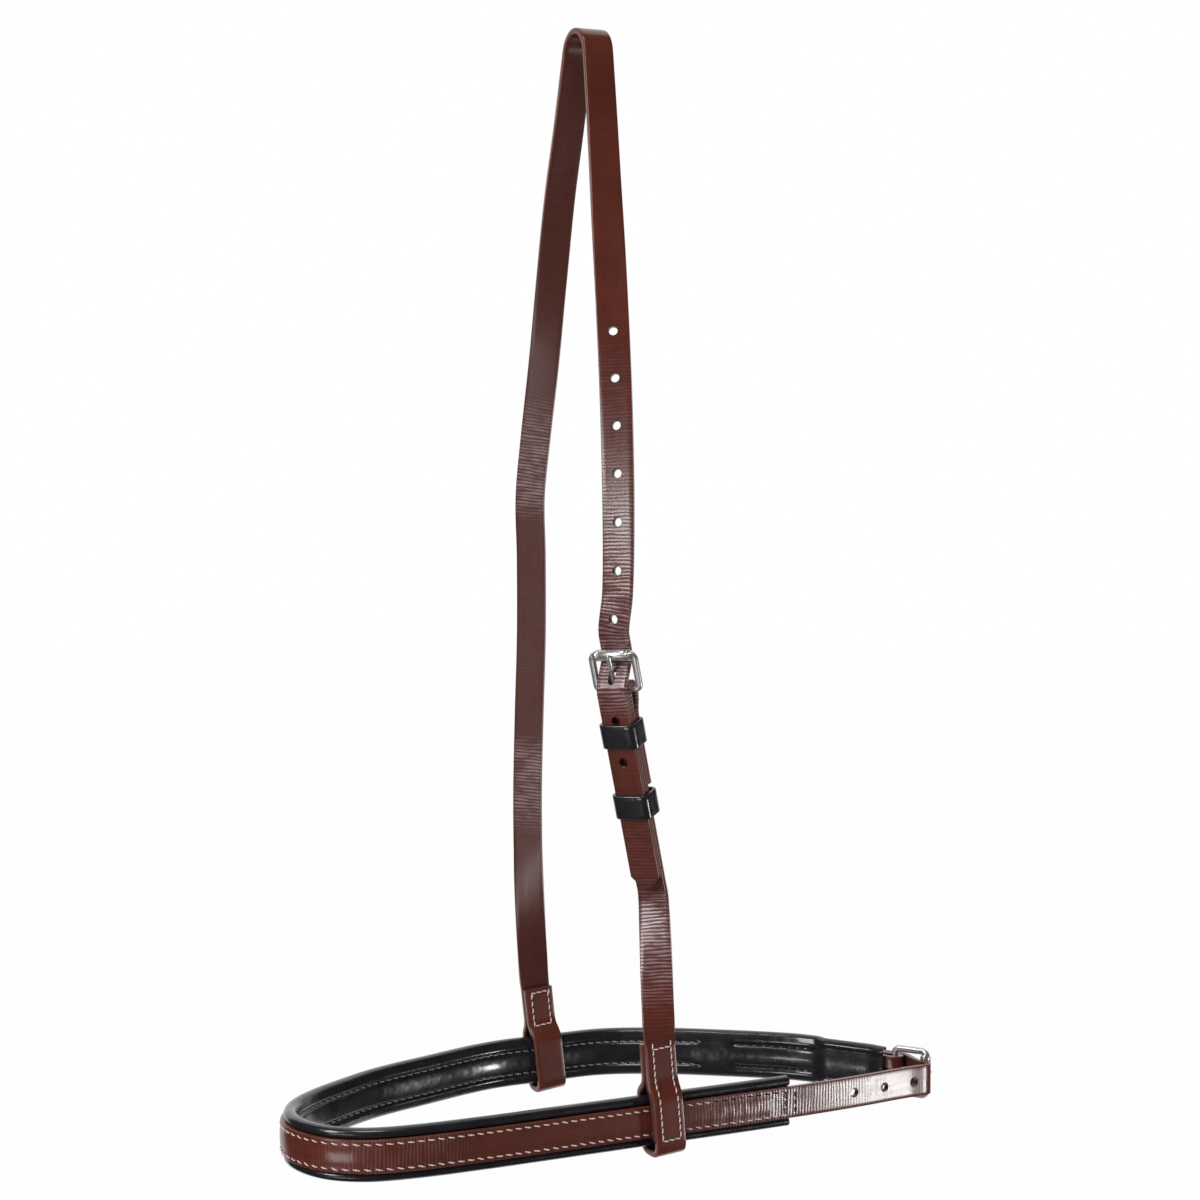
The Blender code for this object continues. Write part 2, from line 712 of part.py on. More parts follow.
def tongue_hole_place(stack):
    """Where the tongue's line crosses the middle of the strap in the window."""
    slope = math.radians(crossing_angle())
    strap_normal = (math.sin(slope), -math.cos(slope))
    tongue_normal = (math.sin(TONGUE_SLOPE), math.cos(TONGUE_SLOPE))
    sides = (BEHIND_ROLLER - BUCKLE_REACH * strap_normal[0], TONGUE_RING)
    t, n = np.linalg.solve(np.array([strap_normal, tongue_normal]), np.array(sides))
    return stack.point(t, n)


def tongue_slot(name, stack):
    outer = CHAPE_RADIUS + HALF_THICK
    half_slot = TONGUE_RADIUS + TONGUE_SLOT_PLAY
    return box_cutter(name, stack, (-outer - 1.0, outer), (-outer - 1.0, outer + GAP / 2), half_slot)


def rounded_outline(half_x, half_y, radius, steps):
    """Points (x, y) round a rectangle with rounded corners."""
    points = []
    for sx, sy, start in ((1, 1, 0), (-1, 1, 90), (-1, -1, 180), (1, -1, 270)):
        centre = (sx * (half_x - radius), sy * (half_y - radius))
        points += arc(centre, radius, start, start + QUARTER_TURN, steps)
    return points


def keeper(name, stack, at, n_low, n_high, half_w, length, finish):
    """A leather band bent into a loop round the stack, its inside given by n and w."""
    middle = (n_low + n_high) / 2
    half_n = (n_high - n_low) / 2
    rings = []
    outer = rounded_outline(half_w + KEEPER_THICK, half_n + KEEPER_THICK, KEEPER_CORNER + KEEPER_THICK, 5)
    inner = rounded_outline(half_w, half_n, KEEPER_CORNER, 5)
    for (wo, no), (wi, ni) in zip(outer, inner):
        spots = ((-1, wo, no), (1, wo, no), (1, wi, ni), (-1, wi, ni))
        rings.append([stack.point(at + e * length / 2, middle + n, w) for e, w, n in spots])
    mesh = swept_mesh(name, rings, closed=True)
    return add_object(name, mesh, finish, stack.matrix(at, middle))


def frame_route(stack):
    """Points round the buckle frame, with the bar's half sizes (out of plane, in plane)."""
    half_w = BUCKLE_WINDOW / 2 + SIDE_BAR_WIDTH / 2
    side_sizes = np.array([SIDE_BAR_DEPTH / 2, SIDE_BAR_WIDTH / 2])
    places = []
    sizes = []
    for sw, st, start in ((1, 1, 0), (-1, 1, 90), (-1, -1, 180), (1, -1, 270)):
        bar = HEEL_RADIUS if st > 0 else AXLE_RADIUS
        middle_t = (st - 1) * BUCKLE_REACH / 2 - st * FRAME_CORNER
        middle = (sw * (half_w - FRAME_CORNER), middle_t)
        turns = np.linspace(start, start + QUARTER_TURN, 5)
        for turn, (w, t) in zip(turns, arc(middle, FRAME_CORNER, start, start + QUARTER_TURN, 5)):
            side_share = abs(math.cos(math.radians(turn)))
            places.append(stack.point(t, 0.0, w))
            sizes.append(bar + side_share * (side_sizes - bar))
    return np.array(places), np.array(sizes)


def buckle_frame(name, stack, finish):
    """One forged loop: the heel bar, two side bars and the bar that the roller turns on."""
    route, sizes = frame_route(stack)
    side = np.cross(tangents(route, closed=True), stack.n)
    turn = (np.arange(BAR_SIDES) + 0.5) / BAR_SIDES * math.tau
    rings = [
        point + out * np.cos(turn)[:, None] * stack.n + flat * np.sin(turn)[:, None] * across
        for point, across, (out, flat) in zip(route, side, sizes)
    ]
    return add_object(name, swept_mesh(name, rings, closed=True), finish, stack.matrix())


def buckle_roller(name, stack, finish):
    """A tube that turns freely on the front bar."""
    half_length = BUCKLE_WINDOW / 2 + SIDE_BAR_WIDTH / 2 - FRAME_CORNER - ROLLER_END_GAP
    inner = ROLLER_RADIUS - ROLLER_WALL
    rings = []
    for turn in np.arange(ROLLER_SIDES) / ROLLER_SIDES * math.tau:
        spots = ((-1, ROLLER_RADIUS), (1, ROLLER_RADIUS), (1, inner), (-1, inner))
        rings.append([
            stack.point(radius * math.cos(turn) - BUCKLE_REACH, radius * math.sin(turn), e * half_length)
            for e, radius in spots
        ])
    return add_object(name, swept_mesh(name, rings, closed=True), finish, stack.matrix(-BUCKLE_REACH))


def buckle_tongue(name, stack, finish):
    """A pin bent round the heel bar, through the strap's hole and onto the roller."""
    slope = math.degrees(TONGUE_SLOPE)
    pairs = arc((0.0, 0.0), TONGUE_RING, 90.0 - slope - TONGUE_WRAP, 90.0 - slope, 16)
    start = np.array(pairs[-1])
    reach = BUCKLE_REACH + TONGUE_OVERHANG
    run = np.array([-reach, reach * math.tan(TONGUE_SLOPE)])
    pairs += [tuple(start + run * share) for share in (0.35, 0.7, 0.94, 1.0)]
    points = stack.path(pairs)
    wide, thick = frames(points, np.tile(stack.w, (len(points), 1)))
    radius = np.full(len(points), TONGUE_RADIUS)
    radius[-1] = TONGUE_RADIUS * TONGUE_TIP_SHARE
    turn = np.arange(TONGUE_SIDES) / TONGUE_SIDES * math.tau
    spokes = np.cos(turn)[None, :, None] * wide[:, None] + np.sin(turn)[None, :, None] * thick[:, None]
    mesh = swept_mesh(name, points[:, None] + radius[:, None, None] * spokes)
    return add_object(name, mesh, finish, stack.matrix())


def curled_edge(radius, lip, rolled, count):
    """One edge of the lining, as (across, up) from where its flat wall ends: an arc that has
    turned by the share rolled of half a turn, and then a straight lip."""
    arc_length = math.pi * radius
    flat = np.linspace(0.0, FLAT_EDGE, count + 1)
    curled = np.append(np.linspace(0.0, arc_length, count), arc_length + lip)
    length = (1.0 - rolled) * flat + rolled * curled
    bent = np.minimum(length, arc_length * rolled)
    straight = (length - bent)[:, None]
    turn = bent / radius
    bend = np.stack([radius * (1.0 - np.cos(turn)), radius * np.sin(turn)], 1)
    return bend + straight * np.stack([np.sin(turn), np.cos(turn)], 1)


def lining_outline(rolled, edge):
    """The lining's section in (v, u). rolled is the share of half a turn that its edges are
    rolled by, and edge is how near to the middle their lips reach."""
    lip = ROLL_UP - edge
    outer = np.array([WALL_FACE, ROLL_UP]) + curled_edge(ROLL_RADIUS, lip, rolled, 8)
    inner = np.array([WALL_TOP, ROLL_UP]) + curled_edge(ROLL_RADIUS - LINING_THICK, lip, rolled, 6)
    below = np.array([1.0, -1.0])
    return np.vstack([outer[::-1], outer * below, inner[::-1] * below, inner])


def share_between(value, low, high):
    return min(1.0, max(0.0, (value - low) / (high - low)))


def lining_rings(distances):
    """The lips reach under the strap only beyond the folded chape. The lining steps in once to
    pass inside the keepers, and again to pass inside the fold at the heel bar."""
    rings = []
    edge_at = (LINING_STEP_UNTIL, LINING_STEP_FROM, CHIN_CHAPE + 1.0, CHIN_CHAPE + 6.0)
    edges = (ROLL_UP - LINING_SHORT_LIP, HALF_WIDTH + 2 * GAP, HALF_WIDTH + 2 * GAP, FLANGE_END)
    for distance in distances:
        clear = eased(share_between(distance, LINING_STEP_UNTIL, LINING_STEP_FROM))
        beyond_fold = eased(share_between(distance, FOLD_STEP_UNTIL, FOLD_STEP_FROM))
        rolled = LINING_OPEN_ROLL + (1.0 - LINING_OPEN_ROLL) * clear
        outline = lining_outline(rolled, float(np.interp(distance, edge_at, edges)))
        outline[:, 0] -= (2.0 - clear - beyond_fold) * LINING_STEP_IN
        rings.append(outline)
    return band_rings(distances, np.array(rings))


def strip_rings(distances, low_v, high_v, low_u, high_u):
    outline = np.array([(low_v, low_u), (low_v, high_u), (high_v, high_u), (high_v, low_u)])
    return band_rings(distances, np.tile(outline, (len(distances), 1, 1)))


def box_corners(start, end, half_across):
    """The corners of a sewn box, as (along, across) in order round it."""
    return [(start, -half_across), (end, -half_across), (end, half_across), (start, half_across)]


def seam_loop(name, corners, surface, finish):
    """Thread sewn in a closed box: corners are (along, across), and surface gives the
    point on the leather and its outward and across directions there."""
    stops = []
    for (a0, c0), (a1, c1) in zip(corners, corners[1:] + corners[:1]):
        count = max(1, int(abs(a1 - a0) / 4.0))
        for share in np.arange(count) / count:
            stops.append((a0 + share * (a1 - a0), c0 + share * (c1 - c0)))
    middle = np.mean(corners, 0)
    rings = []
    for along, across in stops:
        place, outward, wide, run = surface(along, across)
        corner_out = np.sign([along - middle[0], across - middle[1]])
        at_end = along in (corners[0][0], corners[2][0])
        at_side = across in (corners[0][1], corners[2][1])
        push = run * corner_out[0] * at_end + wide * corner_out[1] * at_side
        base = place + outward * GAP
        top = base + outward * THREAD_THICK
        half = push * THREAD_WIDTH / 2
        rings.append([base - half, base + half, top + half, top - half])
    return add_object(name, swept_mesh(name, rings, closed=True), finish)


def strap_surface(points, across_dirs, side):
    """The face of a strap as a function of (along, across), side +1 or -1 of its run."""
    points = np.asarray(points, dtype=float)
    wide, thick = frames(points, across_dirs)
    steps = np.linalg.norm(np.diff(points, axis=0), axis=1)
    length = np.concatenate([[0.0], np.cumsum(steps)])
    run_dirs = tangents(points)

    def at(table, along):
        return np.array([np.interp(along, length, table[:, k]) for k in range(3)])

    def surface(along, across):
        outward = unit(at(thick, along)) * side
        wide_here = unit(at(wide, along))
        place = at(points, along) + across * wide_here + outward * HALF_THICK
        return place, outward, wide_here, unit(at(run_dirs, along))

    return surface


def lining_surface(along, across):
    """The inner face of the lining's wall as a function of (along, across)."""
    place = band_points([along], WALL_FACE, across)[0]
    run = unit(band_points([along + 1.0], WALL_FACE)[0] - band_points([along - 1.0], WALL_FACE)[0])
    up = np.array([0.0, 0.0, 1.0])
    return place, unit(np.cross(run, up)) * -1.0, up, run


clear_scene()
leather = material("chestnut leather", BROWN, 0.38)
flesh_side = material("leather filler", DARK_BROWN, 0.6)
patent = material("black glazed leather", BLACK, 0.22)
steel = material("polished steel", STEEL, 0.25, 1.0)
foam = material("foam padding", FOAM, 0.9)
cord = material("cotton piping cord", CREAM, 0.9)
thread = material("waxed linen thread", CREAM, 0.7)
black_thread = material("black thread", BLACK, 0.6)

# Head strap: the long crown strap with its tail, and its loop round the far side of the band
crown_points, crown_across = crown_strap_path()
crown_widths = point_widths(crown_points, tip_first=True)
crown_strap = strap("crown_strap", crown_points, crown_across, crown_widths, leather)
crown_hole = distance_to(crown_points, tongue_hole_place(cheek))
cut(
    crown_strap,
    strap_holes("crown_strap_oval_punch", crown_points, crown_across, [crown_hole],
                TONGUE_RADIUS + TONGUE_SLOT_PLAY, OVAL_HALF_LENGTH),
    strap_holes(
        "crown_strap_punches", crown_points, crown_across,
        [crown_hole - TAIL_HOLE_PITCH * (k + 1) for k in range(TAIL_HOLES)]
        + [crown_hole + FIRST_HOLE_UP + HOLE_PITCH * k for k in range(HOLES_UP)],
        HOLE_RADIUS, HOLE_RADIUS,
    ),
)

# Near cheek: its chape holds the buckle, and its lower end is the near loop
cheek_points, cheek_across = near_cheek_path()
near_cheek = strap("near_cheek_strap", cheek_points, cheek_across, HALF_WIDTH, leather)
cut(near_cheek, tongue_slot("cheek_chape_slot", cheek))

filler_offset = HALF_THICK + GAP + FILLER_THICK / 2
near_down_points = near_loop.path(near_down)
near_down_across = np.tile(near_loop.w, (len(near_down), 1))
near_down_outward = frames(near_down_points, near_down_across)[1]
filler_points = near_down_points - filler_offset * near_down_outward
filler_rings = flat_rings(filler_points, near_down_across, HALF_WIDTH, FILLER_THICK / 2)
add_object("near_loop_filler", swept_mesh("near_loop_filler", filler_rings), flesh_side)

for prefix, stack in (("cheek", cheek), ("chin", chin)):
    buckle_frame(prefix + "_buckle_frame", stack, steel)
    buckle_roller(prefix + "_buckle_roller", stack, steel)
    buckle_tongue(prefix + "_buckle_tongue", stack, steel)

stack_low = CHAPE_BACK - HALF_THICK - GAP
stack_high = TAIL_OFFSET + HALF_THICK + GAP
for name, stack, at, length in (
    ("cheek_upper_keeper", cheek, CHEEK_UPPER_KEEPER_AT, CHEEK_KEEPER_LENGTH),
    ("cheek_lower_keeper", cheek, CHEEK_LOWER_KEEPER_AT, CHEEK_KEEPER_LENGTH),
    ("chin_fixed_keeper", chin, CHIN_FIXED_KEEPER_AT, CHIN_KEEPER_LENGTH),
    ("chin_sliding_keeper", chin, CHIN_SLIDING_KEEPER_AT, CHIN_KEEPER_LENGTH),
):
    keeper(name, stack, at, stack_low, stack_high, HALF_WIDTH + GAP, length, patent)

# Nose strap: one strap from the chin buckle's chape, round the nose, to the chin strap's tail
nose_points, nose_across = nose_strap_path()
nose_widths = point_widths(nose_points, tip_first=False)
nose_strap = strap("nose_strap", nose_points, nose_across, nose_widths, leather)
chin_hole = distance_to(nose_points, tongue_hole_place(chin))
cut(
    nose_strap,
    tongue_slot("chin_chape_slot", chin),
    strap_holes("chin_strap_oval_punch", nose_points, nose_across, [chin_hole],
                TONGUE_RADIUS + TONGUE_SLOT_PLAY, OVAL_HALF_LENGTH),
    strap_holes(
        "chin_strap_punches", nose_points, nose_across,
        [chin_hole + TAIL_HOLE_PITCH * (k + 1) for k in range(TAIL_HOLES)]
        + [chin_hole - FIRST_CHIN_HOLE - CHIN_HOLE_PITCH * k for k in range(CHIN_HOLES)],
        HOLE_RADIUS, HOLE_RADIUS,
    ),
)

lining_at = band_stations(LINING_START, PADDED_END)
lining_at = np.unique(np.concatenate([
    lining_at,
    np.linspace(LINING_STEP_UNTIL, LINING_STEP_FROM, 5),
    np.linspace(FOLD_STEP_UNTIL, FOLD_STEP_FROM, 5),
    np.linspace(CHIN_CHAPE + 1.0, CHIN_CHAPE + 6.0, 3),
]))
add_object("nose_lining", swept_mesh("nose_lining", lining_rings(lining_at)), patent)

padding_at = band_stations(PADDING_START, PADDED_END - END_MARGIN)
padding_mesh = swept_mesh("nose_padding", strip_rings(
    padding_at, PADDING_TOP - PADDING_THICK, PADDING_TOP, -PADDING_HALF_HEIGHT, PADDING_HALF_HEIGHT))
add_object("nose_padding", padding_mesh, foam)

cord_radius = ROLL_RADIUS - LINING_THICK - GAP
cord_at = band_stations(LINING_STEP_FROM + END_MARGIN, PADDED_END - END_MARGIN)
for name, level in (("upper_edge_cord", 1), ("lower_edge_cord", -1)):
    centres = band_points(cord_at, ROLL_ACROSS, level * ROLL_UP)
    rings = round_rings(centres, cord_radius, 8, np.tile((0.0, 0.0, 1.0), (len(centres), 1)))
    add_object(name, swept_mesh(name, rings), cord)

# Thread: two rows along the nose strap, and a sewn box at each fold
seam_at = band_stations(SEAM_START, PADDED_END - END_MARGIN)
seam_up = HALF_WIDTH - THREAD_INSET
for name, level in (("nose_upper_thread", 1), ("nose_lower_thread", -1)):
    low_u = level * seam_up - THREAD_WIDTH / 2
    low_v = STRAP_FACE + GAP
    rings = strip_rings(seam_at, low_v, low_v + THREAD_THICK, low_u, low_u + THREAD_WIDTH)
    add_object(name, swept_mesh(name, rings), thread)

seam_half = HALF_WIDTH - BOX_INSET
far_round_points = far_loop.path(far_round)
far_round_length = path_length(far_round_points)
for name, points, across, side, start, end in (
    ("near_loop_thread", near_down_points, near_loop.w, 1, END_MARGIN, path_length(near_down_points) - GAP),
    ("far_loop_thread", far_round_points, far_loop.w, -1, far_round_length - FAR_BOX_LENGTH,
     far_round_length - END_MARGIN),
    ("cheek_chape_thread", cheek_points, cheek.w, 1, END_MARGIN, CHEEK_CHAPE - CHAPE_BOX_UNTIL),
):
    surface = strap_surface(points, np.tile(across, (len(points), 1)), side)
    seam_loop(name, box_corners(start, end, seam_half), surface, thread)
chin_box = box_corners(CHIN_BOX_START, CHIN_CHAPE - END_MARGIN, seam_half)
seam_loop("chin_chape_thread", chin_box, lining_surface, black_thread)
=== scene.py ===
import math

import bmesh
import bpy
import numpy as np
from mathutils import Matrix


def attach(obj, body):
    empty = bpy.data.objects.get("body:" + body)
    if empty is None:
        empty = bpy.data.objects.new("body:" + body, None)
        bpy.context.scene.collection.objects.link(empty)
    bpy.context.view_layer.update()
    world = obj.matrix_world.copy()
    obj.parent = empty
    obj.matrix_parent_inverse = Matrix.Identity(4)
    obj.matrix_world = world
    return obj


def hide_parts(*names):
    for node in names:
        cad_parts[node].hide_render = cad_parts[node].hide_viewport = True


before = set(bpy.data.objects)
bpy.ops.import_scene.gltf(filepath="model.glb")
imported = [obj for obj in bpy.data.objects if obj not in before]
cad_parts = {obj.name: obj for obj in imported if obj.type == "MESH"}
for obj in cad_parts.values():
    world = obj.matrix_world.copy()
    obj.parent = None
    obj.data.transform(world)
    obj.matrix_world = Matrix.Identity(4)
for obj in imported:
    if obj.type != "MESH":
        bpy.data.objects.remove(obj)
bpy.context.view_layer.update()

# The studio. A hanging noseband over white paper, lit by a softbox overhead, one high at the
# left, and two low cards at the front. A dark half tent on the photographer's side is what
# the glossy leather mirrors, and only reflections see it.

CAMERA_PLACE = (-0.439, -0.892, -0.169)
CAMERA_AZIMUTH = 26.5
CAMERA_PITCH = 3.6
CAMERA_LENS = 72.0
FLOOR_LEVEL = -1.0
FLOOR_RADIUS = 9.0
FLOOR_SIDES = 96
PAPER = "ffffff"
PAPER_SHADED = "f4f4f4"
PAPER_SHARE = 0.975
TENT = "1a191b"
TENT_RADIUS = 2.3
TENT_SPREAD = 128.0
TENT_MIDDLE = -0.25
TENT_RISE = 88.0
TENT_LIFT = 0.01
TENT_COLUMNS = 49
TENT_ROWS = 33
AMBIENT = 0.45


def linear(colour, alpha=1.0):
    """An sRGB hex colour as linear light: a straight part near black, then a power of 2.4."""
    parts = np.array([int(colour[i:i + 2], 16) for i in (0, 2, 4)]) / 255
    light = np.where(parts <= 0.04045, parts / 12.92, ((parts + 0.055) / 1.055) ** 2.4)
    return (*light.tolist(), alpha)


def add_node(tree, kind, inputs=(), **settings):
    """Adds a node: settings are its properties, inputs its sockets' values or their links."""
    made = tree.nodes.new("ShaderNode" + kind)
    for name, value in settings.items():
        setattr(made, name, value)
    for name, value in dict(inputs).items():
        if isinstance(value, bpy.types.NodeSocket):
            tree.links.new(value, made.inputs[name])
        else:
            made.inputs[name].default_value = value
    return made


def mesh_object(name, points, faces):
    """A mesh from an array of points in metres and lists of faces, linked as an object."""
    mesh = bpy.data.meshes.new(name)
    mesh.from_pydata(points.tolist(), [], faces)
    mesh.update()
    made = bpy.data.objects.new(name, mesh)
    bpy.context.scene.collection.objects.link(made)
    return made


def new_material(name):
    """An empty node material with its Principled BSDF."""
    made = bpy.data.materials.new(name)
    made.use_nodes = True
    return made, made.node_tree, made.node_tree.nodes["Principled BSDF"]


def seen_directly(tree):
    """1 for the rays by which the paper shows: camera, glossy and transmission rays."""
    rays = add_node(tree, "LightPath").outputs
    sharp = add_node(tree, "Math", {0: rays["Is Camera Ray"], 1: rays["Is Glossy Ray"]},
                     operation="MAXIMUM")
    return add_node(tree, "Math", {0: sharp.outputs[0], 1: rays["Is Transmission Ray"]},
                    operation="MAXIMUM").outputs[0]


camera_data = bpy.data.cameras.new("camera")
camera_data.lens = CAMERA_LENS
camera = bpy.data.objects.new("camera", camera_data)
camera.location = CAMERA_PLACE
camera.rotation_euler = (math.radians(90.0 - CAMERA_PITCH), 0.0, -math.radians(CAMERA_AZIMUTH))
bpy.context.scene.collection.objects.link(camera)
bpy.context.scene.camera = camera
bpy.context.scene.view_settings.view_transform = "Standard"

# The paper: a flat disc so wide that its edge meets the white surround out of sight
rim = np.linspace(0.0, math.tau, FLOOR_SIDES, endpoint=False)
disc = np.stack([FLOOR_RADIUS * np.cos(rim), FLOOR_RADIUS * np.sin(rim),
                 np.full(FLOOR_SIDES, FLOOR_LEVEL)], 1)
paper = mesh_object("studio_floor", disc, [list(range(FLOOR_SIDES))])
paper_material, tree, shader = new_material("matt_white_paper")
shader.inputs["Base Color"].default_value = linear(PAPER_SHADED)
shader.inputs["Roughness"].default_value = 0.9
glow = add_node(tree, "Emission", {"Color": linear(PAPER), "Strength": 1.0})
share = add_node(tree, "Math", {0: seen_directly(tree), 1: PAPER_SHARE}, operation="MULTIPLY")
blend = add_node(tree, "MixShader", {0: share.outputs[0], 1: shader.outputs[0], 2: glow.outputs[0]})
tree.links.new(blend.outputs[0], tree.nodes["Material Output"].inputs["Surface"])
paper.data.materials.append(paper_material)

# The tent: the part of a sphere round the noseband that faces the camera, cut flat just above
# the paper
turn = np.radians(np.linspace(-TENT_SPREAD, TENT_SPREAD, TENT_COLUMNS))
turn = turn + math.radians(CAMERA_AZIMUTH)
rise = np.radians(np.linspace(-TENT_RISE, TENT_RISE, TENT_ROWS))[:, None]
shell = np.stack([-np.sin(turn) * np.cos(rise), -np.cos(turn) * np.cos(rise),
                  np.broadcast_to(np.sin(rise), (TENT_ROWS, TENT_COLUMNS))], -1) * TENT_RADIUS
shell[..., 2] = np.maximum(shell[..., 2] + TENT_MIDDLE, FLOOR_LEVEL + TENT_LIFT)
i = (np.arange(TENT_ROWS - 1)[:, None] * TENT_COLUMNS + np.arange(TENT_COLUMNS - 1)).ravel()
panels = np.stack([i, i + 1, i + TENT_COLUMNS + 1, i + TENT_COLUMNS], 1).tolist()
tent = mesh_object("studio_tent", shell.reshape(-1, 3), panels)
tent_material, tree, shader = new_material("dark_felt_tent")
dark = add_node(tree, "Emission", {"Color": linear(TENT), "Strength": 1.0})
tree.links.new(dark.outputs[0], tree.nodes["Material Output"].inputs["Surface"])
tent.data.materials.append(tent_material)
tent.visible_camera = False
tent.visible_diffuse = False
tent.visible_transmission = False
tent.visible_shadow = False

# The surround: white where it is seen, and a plain soft light on everything
surround = bpy.data.worlds.new("studio")
bpy.context.scene.world = surround
surround.use_nodes = True
tree = surround.node_tree
strength = add_node(tree, "MapRange", {"Value": seen_directly(tree), "To Min": AMBIENT,
                                       "To Max": 1.0})
sky = tree.nodes["Background"]
sky.inputs["Color"].default_value = linear(PAPER)
tree.links.new(strength.outputs[0], sky.inputs["Strength"])


def softbox(name, place, target, width, height, power):
    """A rectangular lamp at place that faces target."""
    lamp = bpy.data.lights.new(name, "AREA")
    lamp.shape = "RECTANGLE"
    lamp.size = width
    lamp.size_y = height
    lamp.energy = power
    made = bpy.data.objects.new(name, lamp)
    place = np.array(place)
    aim = np.array(target) - place
    made.location = place
    made.rotation_euler = (math.atan2(math.hypot(aim[0], aim[1]), -aim[2]), 0.0,
                           math.atan2(-aim[0], aim[1]))
    made.visible_camera = False
    bpy.context.scene.collection.objects.link(made)
    return made


softbox("overhead_softbox", (-0.35, -0.50, 1.15), (0.0, 0.0, -0.3), 0.7, 0.4, 8.0)
softbox("left_softbox", (-1.40, -0.30, 0.40), (0.0, 0.0, -0.25), 0.5, 0.8, 16.0)
softbox("right_low_card", (1.19, -1.15, -0.84), (0.1, -0.05, -0.44), 0.26, 0.32, 8.5)
softbox("left_low_card", (-1.18, -0.66, -0.82), (0.1, 0.02, -0.44), 0.7, 0.14, 2.6)


# The crown strap. One long strap of chestnut bridle leather, 13 mm wide and cut with a blunt
# point. It runs from the tail at the near cheek, through the roller buckle, over the poll and
# down the far cheek, where its end is folded under the band and sewn back to itself.

MM = 0.001
STRAP_WIDTH = 13.0
STRAP_THICK = 2.5
EDGE_RADIUS = 0.45
GAP = 0.3
STRAP_STEP = 1.2
LEG_STEP = 2.0
LEG_CLEAR = 1.0
SHARP_ANGLE = 35.0
POINT_LENGTH = 5.0
POINT_HALF_WIDTH = 1.8
TIP_ROUND = 0.9
HEEL_RADIUS = 1.25
BUCKLE_REACH = 14.0
BUCKLE_LEAD = 8.0
ROLLER_RADIUS = 2.3
CHEEK_HEEL = (-10.5, -49.2, -263.7)
CHEEK_DOWN = (0.245, 0.098, -0.965)
CHEEK_HEADING = -56.0
CHEEK_TAIL = 83.0
CROWN_RADIUS = 9.6
ARCH_TURN = 80.0
BAND_DROP = 438.3
BAND_HEIGHT = 21.0
LOOP_SLACK = 1.0
LOOP_END_ABOVE = 32.0
LOOP_CORNER = 4.0
LOOP_LEAD = 6.0
LOOP_STRAIGHT = 2.0
LOOP_INNER = -6.15
CLOSE_FROM = 10.0
CLOSE_AT = 17.0
FAR_LOOP_X = 6.9
FAR_SIDE_Y = 58.0
FAR_LOOP_LEAN = 6.5
FAR_OUTER = 5.35
FAR_CLOSED = 1.6
HOLE_RADIUS = 1.8
HOLE_PITCH = 19.2
HOLES_UP = 7
FIRST_HOLE_UP = 24.5
TAIL_HOLE_PITCH = 17.4
TAIL_HOLES = 2
TONGUE_HOLE_RADIUS = 1.3
OVAL_HALF_LENGTH = 3.1
TONGUE_RADIUS = 0.9
TONGUE_PLAY = 0.15
HOLE_SIDES = 32
HOLE_LIP = 0.25
HOLE_FLARE = (0.0, 0.28, 0.9)
PUNCH_REACH = 2.0
HALF_WIDTH = STRAP_WIDTH / 2
HALF_THICK = STRAP_THICK / 2
LAYER = STRAP_THICK + GAP
CHAPE_RADIUS = HEEL_RADIUS + GAP + HALF_THICK
TAIL_OFFSET = CHAPE_RADIUS + LAYER
BEHIND_ROLLER = ROLLER_RADIUS + GAP + HALF_THICK
LOOP_BOTTOM = -(BAND_HEIGHT / 2 + LOOP_SLACK + HALF_THICK)
NEAR_LEG = [(-11.8, -50.7, -225.6), (-10.3, -48.5, -194.5), (-8.7, -44.1, -162.2),
            (-6.7, -37.7, -130.9), (-4.8, -30.5, -99.4), (-2.1, -21.3, -67.4), (0.4, -12.6, -36.0)]
FAR_LEG = [(-2.0, 12.8, -34.0), (-3.2, 20.0, -65.0), (-2.2, 30.0, -98.0), (-1.4, 39.0, -131.0),
           (-1.9, 47.0, -165.0), (-2.6, 51.0, -190.0), (-1.2, 53.0, -215.0), (-0.4, 54.8, -250.0),
           (-1.2, 55.6, -287.0), (-1.8, 56.0, -322.0), (-1.0, 56.6, -357.0)]
NEAR_HEADINGS = [(-410.0, 0.0), (-388.0, -32.0), (-352.0, CHEEK_HEADING), (-225.0, CHEEK_HEADING),
                 (-130.0, -36.0), (-60.0, -6.0), (-10.0, 0.0)]
FAR_HEADINGS = [(-412.0, 0.0), (-385.0, -24.0), (-345.0, -48.0), (-190.0, -48.0), (-130.0, -36.0),
                (-60.0, -8.0), (-10.0, 0.0)]
# Crease amounts by height on each cheek: they set the crease relief, and also where the painted
# sheen on crease crests and the painted shade in their hollows go
NEAR_CREASES_AND_SHEEN = [(-406.0, 0.03), (-393.0, 0.15), (-378.0, 1.1), (-356.0, 1.0), (-346.0, 0.2),
                (-300.0, 0.06), (-276.0, 0.08), (-267.0, 1.0), (-256.0, 1.2), (-240.0, 0.9),
                (-215.0, 0.6), (-180.0, 0.35), (-150.0, 0.15), (-120.0, 0.03)]
FAR_CREASES_AND_SHEEN = [(-338.0, 0.05), (-325.0, 0.8), (-303.0, 0.8), (-292.0, 0.05), (-200.0, 0.05),
               (-190.0, 0.9), (-162.0, 0.8), (-145.0, 0.05)]


def unit(vector):
    """The vector at a length of 1."""
    vector = np.asarray(vector, dtype=float)
    return vector / np.linalg.norm(vector)


def arc(centre, radius, start, end, count):
    """Points on an arc: centre + radius x (cos, sin) of even steps from start to end degrees."""
    turn = np.radians(np.linspace(start, end, count))
    return np.asarray(centre) + radius * np.stack([np.cos(turn), np.sin(turn)], 1)


def circle(count):
    """Points on a circle of radius 1: (cos, sin) of even steps round it."""
    turn = np.arange(count) / count * math.tau
    return np.stack([np.cos(turn), np.sin(turn)], 1)


